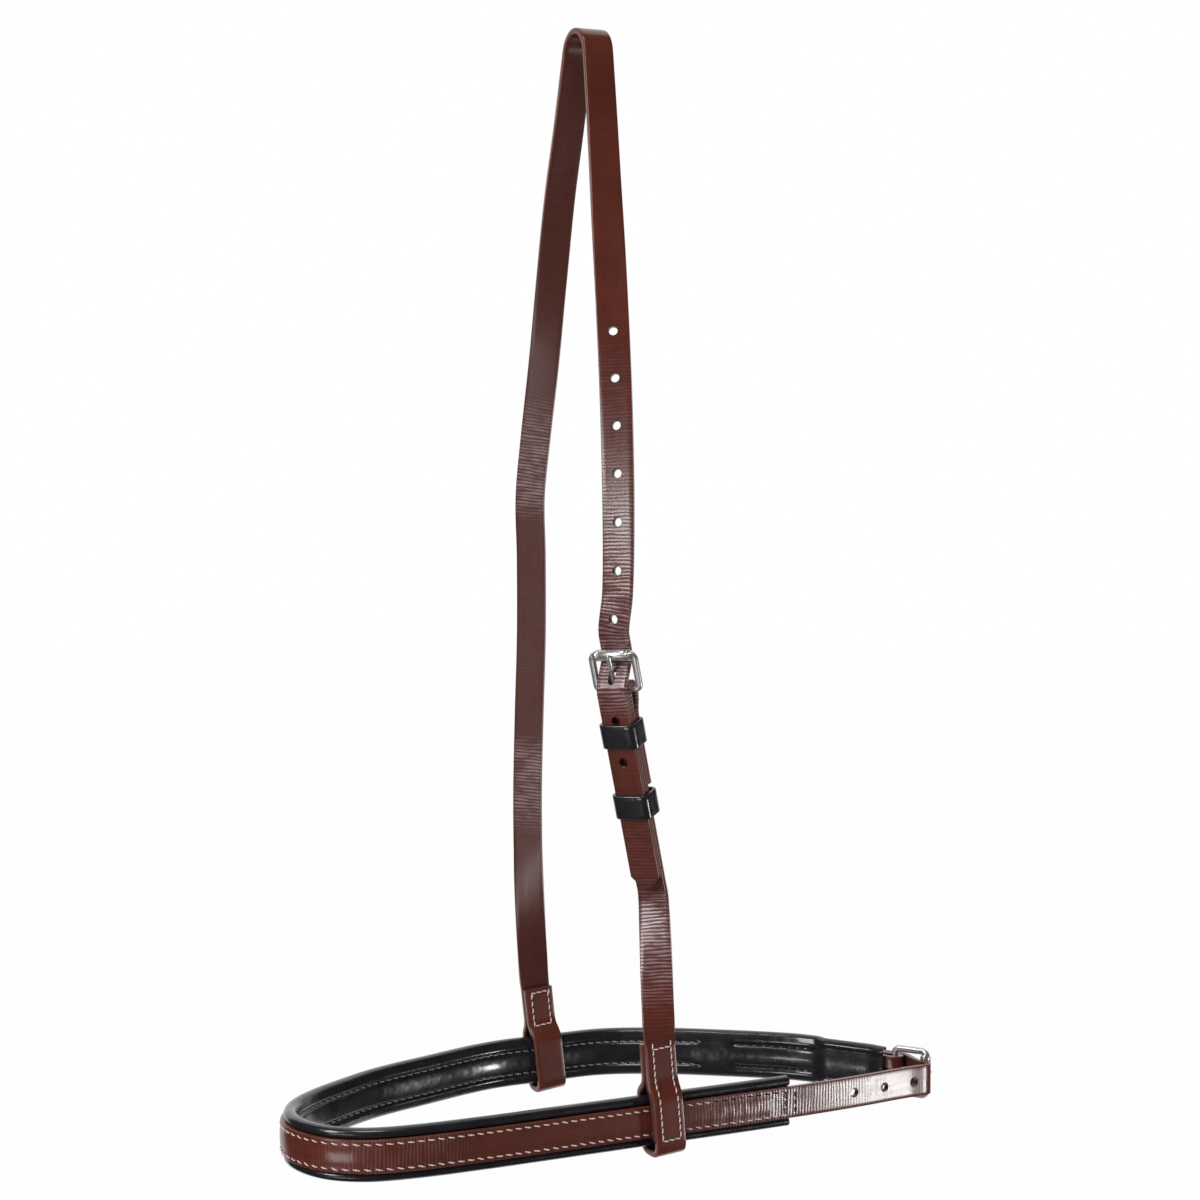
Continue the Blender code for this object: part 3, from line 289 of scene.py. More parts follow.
def spline(points, step):
    """A smooth curve through points: between each two a cubic, whose slope at a point is the
    slope between its neighbours, sampled about every step."""
    points = np.asarray(points, dtype=float)
    chords = np.linalg.norm(np.diff(points, axis=0), axis=1)
    slopes = np.empty_like(points)
    slopes[1:-1] = (points[2:] - points[:-2]) / (chords[1:] + chords[:-1])[:, None]
    slopes[0] = (points[1] - points[0]) / chords[0]
    slopes[-1] = (points[-1] - points[-2]) / chords[-1]
    out = []
    for i, chord in enumerate(chords):
        t = np.linspace(0.0, 1.0, max(2, int(round(chord / step))), endpoint=False)[:, None]
        stay = (2 * t**3 - 3 * t**2 + 1) * points[i] + (3 * t**2 - 2 * t**3) * points[i + 1]
        lead = (t**3 - 2 * t**2 + t) * slopes[i] + (t**3 - t**2) * slopes[i + 1]
        out.append(stay + chord * lead)
    return np.vstack(out + [points[-1:]])


def eased(share):
    """A share from 0 to 1 with no slope at either end: 3s² - 2s³."""
    share = np.clip(share, 0.0, 1.0)
    return share * share * (3.0 - 2.0 * share)


def heading_across(degrees):
    """The level width direction of a strap whose face looks towards this heading."""
    turn = np.radians(np.atleast_1d(degrees))
    return np.stack([np.cos(turn), np.sin(turn), np.zeros(len(turn))], 1)


def headings_at(heights, table):
    """Width directions at the heights, from pairs of height and heading, low to high."""
    known, degrees = zip(*table)
    return heading_across(np.interp(heights, known, degrees))


def run_of(points):
    """The distance along a path to each of its points."""
    steps = np.linalg.norm(np.diff(points, axis=0), axis=1)
    return np.concatenate([[0.0], np.cumsum(steps)])


def rows_at(table, run, at):
    """The rows of a table at distances along it, each between the two rows next to it."""
    return np.stack([np.interp(at, run, column) for column in table.T], 1)


def evened(parts, step, extra=()):
    """Parts of a path, each (points, width directions), joined, sampled at 1 mm, rounded by
    three passes that move a point half way to the mean of its neighbours, and sampled again
    at even steps and at the extra distances, of which a negative one counts from the end.
    Gives points, width directions and distances."""
    points = np.vstack([points for points, _ in parts])
    across = np.vstack([np.broadcast_to(wide, (len(points), 3)) for points, wide in parts])
    table = np.hstack([points, across])
    table = table[np.concatenate([[True], np.linalg.norm(np.diff(points, axis=0), axis=1) > 0.2])]

    run = run_of(table[:, :3])
    table = rows_at(table, run, np.linspace(0.0, run[-1], int(run[-1])))
    for _ in range(3):
        table[1:-1] += (table[2:] + table[:-2] - 2 * table[1:-1]) / 4
    run = run_of(table[:, :3])
    extra = np.asarray(extra, dtype=float)
    extra = np.where(extra < 0.0, run[-1] + extra, extra)
    at = np.unique(np.concatenate([np.linspace(0.0, run[-1], int(run[-1] / step)), extra]))
    table = rows_at(table, run, at)
    return table[:, :3], table[:, 3:], at


def frames(points, across, closed=False):
    """Run, width and face directions at each point: the run is the slope between the
    neighbours, the width is made square to it, and the face is square to both."""
    if closed:
        along = np.roll(points, -1, 0) - np.roll(points, 1, 0)
    else:
        along = np.gradient(points, axis=0)
    along = along / np.linalg.norm(along, axis=1)[:, None]
    across = across - (across * along).sum(1)[:, None] * along
    across = across / np.linalg.norm(across, axis=1)[:, None]
    return along, across, np.cross(along, across)


def carried(points, across, section, closed=False):
    """A section carried along a path: point + a x width direction + b x face direction, for
    each (a, b) of the section, which may differ from station to station."""
    _, wide, face = frames(points, across, closed)
    section = np.broadcast_to(section, (len(points), *np.shape(section)[-2:]))
    return points[:, None] + section[..., :1] * wide[:, None] + section[..., 1:] * face[:, None]


def skin(count, around, closed=False):
    """Quads between rings of points, and a flat face at each open end."""
    i = np.arange(count if closed else count - 1)[:, None]
    j = np.arange(around)[None]
    here, there = i * around, (i + 1) % count * around
    quads = np.stack([here + j, here + (j + 1) % around, there + (j + 1) % around, there + j], -1)
    quads = quads.reshape(-1, 4).tolist()
    if not closed:
        quads += [list(range(around))[::-1], list(range((count - 1) * around, count * around))]
    return quads


def swept(name, rings, closed=False, sharp=SHARP_ANGLE):
    """Rings of points in millimetres as one closed mesh, turned so that its volume is positive."""
    count, around = rings.shape[:2]
    points = rings.reshape(-1, 3)
    faces = skin(count, around, closed)
    quads = np.array([face for face in faces if len(face) == 4])
    corners = points[quads] - points.mean(0)
    volume = np.einsum("ij,ij->", np.cross(corners[:, 0], corners[:, 1]), corners[:, 2])
    volume += np.einsum("ij,ij->", np.cross(corners[:, 0], corners[:, 2]), corners[:, 3])
    if volume < 0.0:
        faces = [face[::-1] for face in faces]
    made = mesh_object(name, points * MM, faces)
    made.data.shade_smooth()
    made.data.set_sharp_from_angle(angle=math.radians(sharp))
    return made


def write_map(piece, name, values):
    """Writes a pair of values for each vertex into a UV map of that name."""
    layer = piece.data.uv_layers.new(name=name)
    corner = np.empty(len(piece.data.loops), dtype=np.int32)
    piece.data.loops.foreach_get("vertex_index", corner)
    layer.data.foreach_set("uv", values[corner].astype(np.float32).ravel())


def strap_section(half_width, half_thick, edge, flats=9):
    """The cut section of a strap as (across, through): two flat faces joined by quarter
    circles of radius edge at the four corners, in order round it."""
    flat = np.linspace(edge - half_width, half_width - edge, flats)
    corner = arc((0.0, 0.0), edge, 90.0, 0.0, 5)
    right_top = corner + (half_width - edge, half_thick - edge)
    right = np.vstack([right_top[1:], right_top[::-1] * (1.0, -1.0)])
    top = np.stack([flat, np.full(flats, half_thick)], 1)
    bottom = top[::-1] * (1.0, -1.0)
    left = right[::-1] * (-1.0, 1.0)
    return np.vstack([top, right[:-1], bottom, left[:-1]])


def strap(name, points, across, run, half_widths, creases, grain=1.0, shape=None):
    """A strap carried along a path. The map strap holds the metres along and across it, and a
    second map holds how creased it is, which sets the crease relief and also the painted sheen and
    painted shade of the creases, and where a point lies through its thickness, from 0 on the flesh
    side to 1 on the grain side. Grain is +1 or -1 of the face direction."""
    section = strap_section(HALF_WIDTH, HALF_THICK, EDGE_RADIUS)
    sections = np.tile(section, (len(points), 1, 1))
    sections[..., 0] *= np.broadcast_to(half_widths, len(points))[:, None] / HALF_WIDTH
    if shape is not None:
        sections = shape(sections, run)
    made = swept(name, carried(points, across, sections))
    along = np.broadcast_to(run[:, None], sections.shape[:2])
    write_map(made, "strap", np.stack([along, sections[..., 0]], -1).reshape(-1, 2) * MM)
    through = np.broadcast_to(grain * section[:, 1] / STRAP_THICK + 0.5, sections.shape[:2])
    crease_and_sheen = np.broadcast_to(creases[:, None], sections.shape[:2])
    write_map(made, "wear", np.stack([crease_and_sheen, through], -1).reshape(-1, 2))
    return made


def punches(points, across, distances, radius, half_length):
    """Rings of a punch at distances along a strap: a tube, round or pulled long along the
    strap, that flares by HOLE_FLARE from HOLE_LIP under each face outwards, so that the
    hole's edge is pressed in."""
    along, wide, face = frames(points, across)
    run = run_of(points)
    levels = np.array([HALF_THICK - HOLE_LIP, HALF_THICK, PUNCH_REACH])
    levels = np.concatenate([-levels[::-1], levels])[:, None, None]
    out = (radius + np.array(HOLE_FLARE[::-1] + HOLE_FLARE))[:, None]
    cos, sin = circle(HOLE_SIDES).T
    stretch = np.where(cos > 0.0, 1.0, -1.0) * (half_length - radius)
    made = []
    for distance in distances:
        i = int(np.abs(run - distance).argmin())
        shape = (out * cos + stretch)[..., None] * along[i]
        shape = shape + (out * sin)[..., None] * wide[i]
        made.append(rows_at(points, run, [distance])[0] + levels * face[i] + shape)
    return made


def punch_out(piece, all_rings):
    """Cuts every punch out of a piece and keeps the result as its mesh."""
    faces = []
    for k, rings in enumerate(all_rings):
        start = k * rings.shape[0] * rings.shape[1]
        faces += [[start + v for v in face[::-1]] for face in skin(*rings.shape[:2])]
    points = np.concatenate([rings.reshape(-1, 3) for rings in all_rings]) * MM
    cutter = mesh_object("punch", points, faces)
    work = bmesh.new()
    work.from_mesh(cutter.data)
    bmesh.ops.recalc_face_normals(work, faces=work.faces[:])
    work.to_mesh(cutter.data)
    work.free()
    cut = piece.modifiers.new("punched holes", "BOOLEAN")
    cut.operation = "DIFFERENCE"
    cut.solver = "EXACT"
    cut.object = cutter
    done = piece.evaluated_get(bpy.context.evaluated_depsgraph_get())
    mesh = bpy.data.meshes.new_from_object(done)
    piece.modifiers.clear()
    old, piece.data = piece.data, mesh
    bpy.data.meshes.remove(old)
    bpy.data.objects.remove(cutter)
    mesh.name = piece.name
    mesh.shade_smooth()
    mesh.set_sharp_from_angle(angle=math.radians(SHARP_ANGLE))


def distance_to(points, place):
    """How far along a path the point nearest to place lies."""
    steps = np.diff(points, axis=0)
    length = np.linalg.norm(steps, axis=1)
    share = np.clip(((place - points[:-1]) * steps).sum(1) / length**2, 0.0, 1.0)
    best = int(np.linalg.norm(points[:-1] + share[:, None] * steps - place, axis=1).argmin())
    return float(length[:best].sum() + share[best] * length[best])


class Stack:
    """A buckle's own axes: w across the strap, n outwards, t from the roller to the chape."""

    def __init__(self, heel, down, outward):
        self.heel = np.asarray(heel, dtype=float)
        self.t = unit(down)
        outward = np.asarray(outward, dtype=float)
        self.n = unit(outward - (outward @ self.t) * self.t)
        self.w = np.cross(self.n, self.t)

    def path(self, pairs, w=0.0):
        """Points at pairs of (t, n): heel + t x t axis + n x n axis + w x w axis."""
        pairs = np.asarray(pairs, dtype=float)
        flat = pairs[:, :1] * self.t + pairs[:, 1:2] * self.n
        return self.heel + flat + np.broadcast_to(w, len(pairs))[:, None] * self.w


class Loop:
    """Axes of a hanging loop: v outwards from the band's middle plane, u up its lean."""

    def __init__(self, x, y, lean, outward):
        turn = math.radians(lean)
        self.middle = np.array([x, y, -BAND_DROP])
        self.v = np.array([0.0, outward, 0.0])
        self.u = np.array([-math.sin(turn), 0.0, math.cos(turn)])
        self.w = np.array([math.cos(turn), 0.0, math.sin(turn)])

    def path(self, pairs):
        """Points at pairs of (v, u): middle + v x v axis + u x u axis."""
        pairs = np.asarray(pairs, dtype=float)
        return self.middle + pairs[:, :1] * self.v + pairs[:, 1:] * self.u


def crossing_path(lead):
    """Points (t, n) from above the buckle, behind the roller and out over the heel bar."""
    slope = math.degrees(math.asin((BEHIND_ROLLER + TAIL_OFFSET) / BUCKLE_REACH))
    behind = arc((-BUCKLE_REACH, 0.0), BEHIND_ROLLER, -90.0, slope - 90.0, 12)
    over = arc((0.0, 0.0), TAIL_OFFSET, 90.0 + slope, 90.0, 16)
    return np.vstack([[(-BUCKLE_REACH - lead, -BEHIND_ROLLER)], behind, over])


def loop_path(outer, closed_outer, closed_inner):
    """Points (v, u) down the outside of the band, then under it and up its inside. Above the
    band the two layers close to closed_outer and closed_inner by an eased share of the way."""
    share = np.linspace(0.0, 1.0, 13)
    u = CLOSE_FROM + share * (CLOSE_AT - CLOSE_FROM)
    corner = LOOP_BOTTOM + LOOP_CORNER
    down = np.stack([outer + eased(share) * (closed_outer - outer), u], 1)[::-1]
    down = np.vstack([[(closed_outer, LOOP_END_ABOVE)], down, [(outer, corner + LOOP_STRAIGHT)]])
    turn = np.vstack([arc((outer - LOOP_CORNER, corner), LOOP_CORNER, 0.0, -90.0, 10),
                      arc((LOOP_INNER + LOOP_CORNER, corner), LOOP_CORNER, -90.0, -180.0, 10)])
    up = np.stack([LOOP_INNER + eased(share) * (closed_inner - LOOP_INNER), u], 1)
    up = np.vstack([[(LOOP_INNER, corner + LOOP_STRAIGHT)], up, [(closed_inner, LOOP_END_ABOVE)]])
    return down, np.vstack([turn, up])


def loop_top(loop, closed):
    """The two highest points of a closed loop's outer layer: one LOOP_LEAD up, and its end."""
    return loop.path([(closed, LOOP_END_ABOVE + LOOP_LEAD), (closed, LOOP_END_ABOVE)])


cheek = Stack(CHEEK_HEEL, CHEEK_DOWN, np.cross(heading_across(CHEEK_HEADING)[0], (0, 0, 1)))
far_loop = Loop(FAR_LOOP_X, FAR_SIDE_Y, FAR_LOOP_LEAN, 1.0)
far_down, far_round = loop_path(FAR_OUTER, FAR_CLOSED, FAR_CLOSED - LAYER)
buckled = cheek.path(np.vstack([crossing_path(BUCKLE_LEAD), [(CHEEK_TAIL, TAIL_OFFSET)]]))[::-1]
arch_turn = np.radians(np.linspace(-ARCH_TURN, ARCH_TURN, 41))
arch = np.stack([np.zeros(len(arch_turn)), CROWN_RADIUS * np.sin(arch_turn),
                 HALF_THICK - CROWN_RADIUS + CROWN_RADIUS * np.cos(arch_turn)], 1)
up = spline(np.vstack([buckled[-2:], NEAR_LEG, arch[:3:2]]), LEG_STEP)
up = up[(up[:, 2] > buckled[-1, 2] + LEG_CLEAR) & (up[:, 2] < arch[0, 2] - LEG_CLEAR)]
far_top = loop_top(far_loop, FAR_CLOSED)
down = spline(np.vstack([arch[-3::2], FAR_LEG, far_top]), LEG_STEP)
down = down[(down[:, 2] < arch[-1, 2] - LEG_CLEAR) & (down[:, 2] > far_top[1, 2] + LEG_CLEAR)]
far_folded = far_loop.path(np.vstack([far_down, far_round]))
tip_stations = np.array([0.15, 0.35, 0.6, 0.9, 1.8, 2.6, 3.4, 4.2, POINT_LENGTH, 5.6])
crown_points, crown_across, crown_run = evened([
    (buckled, cheek.w),
    (up, headings_at(up[:, 2], NEAR_HEADINGS)),
    (arch, heading_across(0.0)),
    (down, headings_at(down[:, 2], FAR_HEADINGS)),
    (far_folded, far_loop.w),
], STRAP_STEP, tip_stations)


def pointed(run):
    """Half widths by the distance from the tip: a straight taper, rounded off at the very tip."""
    taper = np.interp(run, (0.0, POINT_LENGTH), (POINT_HALF_WIDTH, HALF_WIDTH))
    nose = np.sqrt(np.clip(1.0 - (1.0 - run / TIP_ROUND) ** 2, 0.05, 1.0))
    return taper * np.where(run < TIP_ROUND, nose, 1.0)


def creased(points, tables):
    """How creased a strap is at each point, by its height on the near and the far cheek; this also
    sets where the painted sheen and painted shade of the creases go.
    """
    near, far = [np.interp(points[:, 2], *zip(*table)) for table in tables]
    return np.where(points[:, 1] < 0.0, near, far)


def tongue_hole(stack):
    """Where the line of the buckle's tongue crosses the middle of the strap."""
    strap_slope = math.asin((BEHIND_ROLLER + TAIL_OFFSET) / BUCKLE_REACH)
    ring = HEEL_RADIUS + TONGUE_PLAY + TONGUE_RADIUS
    rest = ROLLER_RADIUS + GAP + TONGUE_RADIUS
    tongue_slope = math.asin((rest - ring) / BUCKLE_REACH)
    normals = np.array([(math.sin(strap_slope), -math.cos(strap_slope)),
                        (math.sin(tongue_slope), math.cos(tongue_slope))])
    sides = (BEHIND_ROLLER - BUCKLE_REACH * normals[0, 0], ring)
    return stack.path([np.linalg.solve(normals, sides)])[0]


CHESTNUT = "481e15"
CHESTNUT_LIGHT = "57271c"
CHESTNUT_DARK = "2a110c"
# The cut edge's own lighter tone, with a painted highlight in it
CUT_EDGE_AND_HIGHLIGHT = "5f352c"
# Pale pink painted sheen for the crests of the creases
CREST_PAINTED_SHEEN = "b49ca1"
FLESH = "472018"
CREASE_PITCH = 1.45
CREASE_WANDER = 7.0
CREASE_DEPTH = 0.00008
# Shares of painted shade in the crease hollows and of painted sheen on their crests
HOLLOW_PAINTED_SHADE_SHARE = 0.4
CREST_PAINTED_SHEEN_SHARE = 0.38
PORE_DEPTH = 0.000012


def chestnut_leather():
    """Chestnut bridle leather, dyed, waxed and glazed: a soft broad sheen with a fine grain, cross
    creases where it has been bent, with painted sheen on their crests and painted shade in their
    hollows, a waxed edge whose lighter tone is partly painted highlight, and a duller back."""
    made, tree, shader = new_material("chestnut_bridle_leather")
    place = add_node(tree, "TexCoord").outputs["Object"]
    place = add_node(tree, "VectorMath", {0: place, "Scale": 1.0 / MM},
                     operation="SCALE").outputs[0]
    on_strap = add_node(tree, "UVMap", uv_map="strap").outputs["UV"]
    on_strap = add_node(tree, "VectorMath", {0: on_strap, "Scale": 1.0 / MM},
                        operation="SCALE").outputs[0]
    wear = add_node(tree, "SeparateXYZ", {0: add_node(tree, "UVMap", uv_map="wear").outputs["UV"]})
    creased_by = wear.outputs["X"]
    through = wear.outputs["Y"]
    # Creases: rounded ridges across the strap, CREASE_PITCH apart, that wander over 6 mm and
    # come and go over 3 mm
    slow = add_node(tree, "VectorMath", {0: on_strap, 1: (0.17, 0.08, 1.0)}, operation="MULTIPLY")
    wander = add_node(tree, "TexNoise", {"Vector": slow.outputs[0], "Scale": 1.0, "Detail": 1.0})
    run = add_node(tree, "SeparateXYZ", {0: on_strap}).outputs["X"]
    phase = add_node(tree, "Math", {0: run, 1: math.tau / CREASE_PITCH}, operation="MULTIPLY")
    phase = add_node(tree, "Math", {0: wander.outputs["Fac"], 1: CREASE_WANDER,
                                    2: phase.outputs[0]}, operation="MULTIPLY_ADD")
    ridge = add_node(tree, "Math", {0: phase.outputs[0]}, operation="SINE")
    ridge = add_node(tree, "MapRange", {"Value": ridge.outputs[0], "From Min": -1.0})
    quick = add_node(tree, "VectorMath", {0: on_strap, 1: (0.45, 0.13, 1.0)}, operation="MULTIPLY")
    patches = add_node(tree, "TexNoise", {"Vector": quick.outputs[0], "Scale": 1.0, "Detail": 1.0})
    patches = add_node(tree, "MapRange", {"Value": patches.outputs["Fac"], "From Min": 0.35,
                                          "From Max": 0.6, "To Min": 0.35, "To Max": 1.0})
    crease = add_node(tree, "Math", {0: ridge.outputs[0], 1: patches.outputs[0]},
                      operation="MULTIPLY")
    crease = add_node(tree, "Math", {0: crease.outputs[0], 1: creased_by}, operation="MULTIPLY")
    # Grain, drawn at 0.6 mm so that it shows, mottling of the dye over 25 mm, and streaks of it
    # along the strap, 20 mm long and 2 mm wide
    grain = add_node(tree, "TexVoronoi", {"Vector": place, "Scale": 1.7}, feature="SMOOTH_F1")
    mottle = add_node(tree, "TexNoise", {"Vector": place, "Scale": 0.04, "Detail": 3.0})
    streak = add_node(tree, "VectorMath", {0: on_strap, 1: (0.05, 0.5, 1.0)}, operation="MULTIPLY")
    streak = add_node(tree, "TexNoise", {"Vector": streak.outputs[0], "Scale": 1.0, "Detail": 4.0})
    mottled = add_node(tree, "MapRange", {"Value": mottle.outputs["Fac"], "From Min": 0.3,
                                          "From Max": 0.7})
    streaked = add_node(tree, "MapRange", {"Value": streak.outputs["Fac"], "From Min": 0.55,
                                           "From Max": 0.8, "To Max": 0.5})
    # The back, the cut edge, lighter partly as painted highlight, the painted shade in the hollows
    # between the creases and the painted sheen on their crests
    back = add_node(tree, "MapRange", {"Value": through, "From Min": 0.0, "From Max": 0.15,
                                       "To Min": 1.0, "To Max": 0.0})
    # The cut edge: its own tone, partly a painted highlight
    middle = add_node(tree, "Math", {0: through, 1: 0.5}, operation="SUBTRACT")
    middle = add_node(tree, "Math", {0: middle.outputs[0]}, operation="ABSOLUTE")
    edge = add_node(tree, "MapRange", {"Value": middle.outputs[0], "From Min": 0.49,
                                       "From Max": 0.36})
    # Painted shade: the hollows between the creases are darkened
    hollow = add_node(tree, "Math", {0: creased_by, 1: crease.outputs[0]}, operation="SUBTRACT")
    hollow = add_node(tree, "Math", {0: hollow.outputs[0], 1: HOLLOW_PAINTED_SHADE_SHARE},
                      operation="MULTIPLY", use_clamp=True)
    # Painted sheen: the crests of the creases are paled
    crest_painted_sheen = add_node(tree, "Math", {0: crease.outputs[0], 1: CREST_PAINTED_SHEEN_SHARE},
                      operation="MULTIPLY", use_clamp=True)
    tone = linear(CHESTNUT)
    for share, colour in ((mottled, CHESTNUT_LIGHT), (streaked, CHESTNUT_DARK), (back, FLESH),
                          (edge, CUT_EDGE_AND_HIGHLIGHT), (hollow, CHESTNUT_DARK), (crest_painted_sheen, CREST_PAINTED_SHEEN)):
        tone = add_node(tree, "MixRGB", {"Fac": share.outputs[0], "Color1": tone,
                                         "Color2": linear(colour)}).outputs[0]
    tree.links.new(tone, shader.inputs["Base Color"])
    polish = add_node(tree, "MapRange", {"Value": streak.outputs["Fac"], "From Min": 0.3,
                                         "From Max": 0.7, "To Min": 0.2, "To Max": 0.26})
    dull = add_node(tree, "Math", {0: back.outputs[0], 1: 0.1, 2: polish.outputs[0]},
                    operation="MULTIPLY_ADD")
    tree.links.new(dull.outputs[0], shader.inputs["Roughness"])
    dents = add_node(tree, "Bump", {"Height": crease.outputs[0], "Strength": 1.0,
                                    "Distance": CREASE_DEPTH})
    pores = add_node(tree, "Bump", {"Height": grain.outputs["Distance"], "Strength": 1.0,
                                    "Distance": PORE_DEPTH, "Normal": dents.outputs[0]})
    tree.links.new(pores.outputs[0], shader.inputs["Normal"])
    # The wax: a thin film that mirrors more sharply than the leather under it
    shader.inputs["Coat Weight"].default_value = 0.1
    shader.inputs["Coat Roughness"].default_value = 0.25
    return made


chestnut = chestnut_leather()
crown_strap = strap("crown_strap_leather", crown_points, crown_across, crown_run,
                    pointed(crown_run), creased(crown_points, (NEAR_CREASES_AND_SHEEN, FAR_CREASES_AND_SHEEN)), -1.0)


def punch_holes(piece, points, across, used, steps):
    """Punches a strap: a long hole at used, where the tongue stands, and round spare holes at
    steps from it along the strap."""
    spare = [used + step for step in steps]
    punch_out(piece, punches(points, across, [used], TONGUE_HOLE_RADIUS, OVAL_HALF_LENGTH)
              + punches(points, across, spare, HOLE_RADIUS, HOLE_RADIUS))


punch_holes(crown_strap, crown_points, crown_across, distance_to(crown_points, tongue_hole(cheek)),
            [-TAIL_HOLE_PITCH * (k + 1) for k in range(TAIL_HOLES)]
            + [FIRST_HOLE_UP + HOLE_PITCH * k for k in range(HOLES_UP)])


def finish_piece(piece, body, node, material):
    """Gives a piece its material and its body, and hides the node it stands for, if any."""
    piece.data.materials.clear()
    piece.data.materials.append(material)
    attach(piece, body)
    if node:
        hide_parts(node)


finish_piece(crown_strap, "head_strap", "crown_strap", chestnut)


# The near cheek strap. A short strap whose upper end is folded round the buckle's heel bar as
# a chape, and whose lower end is folded under the band as the near loop. A strip of leather
# fills the loop's front so that its stitching lies flat.

CHEEK_CHAPE = 40.0
CHAPE_OPENS_AT = 11.0
CHAPE_CLOSES_AT = 2.5
FILLER_THICK = 1.6
NEAR_LOOP_X = 7.7
NEAR_SIDE_Y = -51.0
NEAR_LOOP_LEAN = 5.0
NEAR_OUTER = 7.25
NEAR_CLOSED = 4.3
LEAVE_LEAD = 5.0
LEAVE_EARLY = 2.0
TONGUE_SLOT_PLAY = 0.4
FILLER_EDGE = 0.3
FILLER_INSET = 0.1
FILLER_BROWN = "3a1c16"


def chape_path(length):
    """Points (t, n) from a chape's cut end, up its back and round the heel bar. Near the bar
    the back layer moves in by an eased share of the way."""
    share = np.linspace(0.0, 1.0, 9)
    t = CHAPE_OPENS_AT + share * (CHAPE_CLOSES_AT - CHAPE_OPENS_AT)
    back = CHAPE_RADIUS - LAYER
    near = np.stack([t, back - eased(share) * (CHAPE_RADIUS + back)], 1)
    return np.vstack([[(length, back)], near, arc((0.0, 0.0), CHAPE_RADIUS, -90.0, -270.0, 25)])


def slot_out(piece, stack):
    """Cuts the slot that the tongue passes through where the chape folds round the heel bar."""
    outer = CHAPE_RADIUS + HALF_THICK
    half = TONGUE_RADIUS + TONGUE_SLOT_PLAY
    corners = np.array([(-outer - 1.0, -outer - 1.0), (outer, -outer - 1.0),
                        (outer, outer + GAP / 2), (-outer - 1.0, outer + GAP / 2)])
    punch_out(piece, [np.stack([stack.path(corners, w) for w in (-half, half)])])


def two_tone(tree, shader, pattern, low, high, relief, roughness=None):
    """Colours a material from low to high by a pattern from 0 to 1, which also raises it by
    relief metres, and sets its roughness unless that is left to a link."""
    tone = add_node(tree, "MixRGB", {"Fac": pattern, "Color1": linear(low), "Color2": linear(high)})
    tree.links.new(tone.outputs[0], shader.inputs["Base Color"])
    raised = add_node(tree, "Bump", {"Height": pattern, "Distance": relief})
    tree.links.new(raised.outputs[0], shader.inputs["Normal"])
    if roughness is not None:
        shader.inputs["Roughness"].default_value = roughness


near_loop = Loop(NEAR_LOOP_X, NEAR_SIDE_Y, NEAR_LOOP_LEAN, -1.0)
near_inner = NEAR_CLOSED - STRAP_THICK - 2 * GAP - FILLER_THICK
near_down, near_round = loop_path(NEAR_OUTER, NEAR_CLOSED, near_inner)
leaves_at = CHEEK_TAIL - LEAVE_EARLY
chape = cheek.path(np.vstack([chape_path(CHEEK_CHAPE), [(leaves_at - 1.0, CHAPE_RADIUS)]]))
leave = cheek.path([(leaves_at, CHAPE_RADIUS), (CHEEK_TAIL + LEAVE_LEAD, CHAPE_RADIUS)])
near_top = loop_top(near_loop, NEAR_CLOSED)
free = spline(np.vstack([leave, near_top]), LEG_STEP)
free = free[free[:, 2] > near_top[1, 2] + LEG_CLEAR]
near_folded = near_loop.path(np.vstack([near_down, near_round]))
cheek_points, cheek_across, cheek_run = evened([
    (chape, cheek.w),
    (free, headings_at(free[:, 2], NEAR_HEADINGS)),
    (near_folded, near_loop.w),
], STRAP_STEP)
near_cheek = strap("near_cheek_leather", cheek_points, cheek_across, cheek_run, HALF_WIDTH,
                   creased(cheek_points, (NEAR_CREASES_AND_SHEEN, FAR_CREASES_AND_SHEEN)))
slot_out(near_cheek, cheek)
finish_piece(near_cheek, "head_strap", "near_cheek_strap", chestnut)

filler_line, filler_across, _ = evened([(near_loop.path(near_down), near_loop.w)], STRAP_STEP)
filler_out = frames(filler_line, filler_across)[2]
filler_line = filler_line - (HALF_THICK + GAP + FILLER_THICK / 2) * filler_out
filler_section = strap_section(HALF_WIDTH - FILLER_INSET, FILLER_THICK / 2, FILLER_EDGE, 5)
filler = swept("near_loop_filler_leather", carried(filler_line, filler_across, filler_section))
filler_leather, tree, shader = new_material("cut_leather_filler")
# Undyed split leather with loose fibres on its cut edge: dull and slightly fuzzy
place = add_node(tree, "TexCoord").outputs["Object"]
fibre = add_node(tree, "TexNoise", {"Vector": place, "Scale": 1400.0, "Detail": 3.0})
two_tone(tree, shader, fibre.outputs["Fac"], FILLER_BROWN, CHESTNUT, 0.0001, 0.75)
finish_piece(filler, "head_strap", "near_loop_filler", filler_leather)


# The stitching of the head strap. Waxed cream linen thread, sewn by machine at 2.9 mm a
# stitch: a long box down the near loop, a short box on the far loop's fold, with its end
# stitches doubled, and a box through the cheek chape.

THREAD_WIDTH = 0.6
THREAD_SUNK = 0.17
THREAD_RISE = 0.3
THREAD_TWIST = 1.2
LOOP_PITCH = 2.9
STITCH_SHARE = 0.86
STITCH_SLANT = 9.0
BOX_INSET = 2.5
END_MARGIN = 1.5
FAR_BOX_LENGTH = 17.0
FAR_BOX_ASIDE = 0.5
FAR_BOX_MARGIN = 0.4
CHAPE_BOX_UNTIL = 27.0
OVERSEWN = 2.6
# Cream thread, and a darker tone for the painted shade in the hollows of its twist
THREAD = "dccdc6"
THREAD_SHADE = "a8938b"


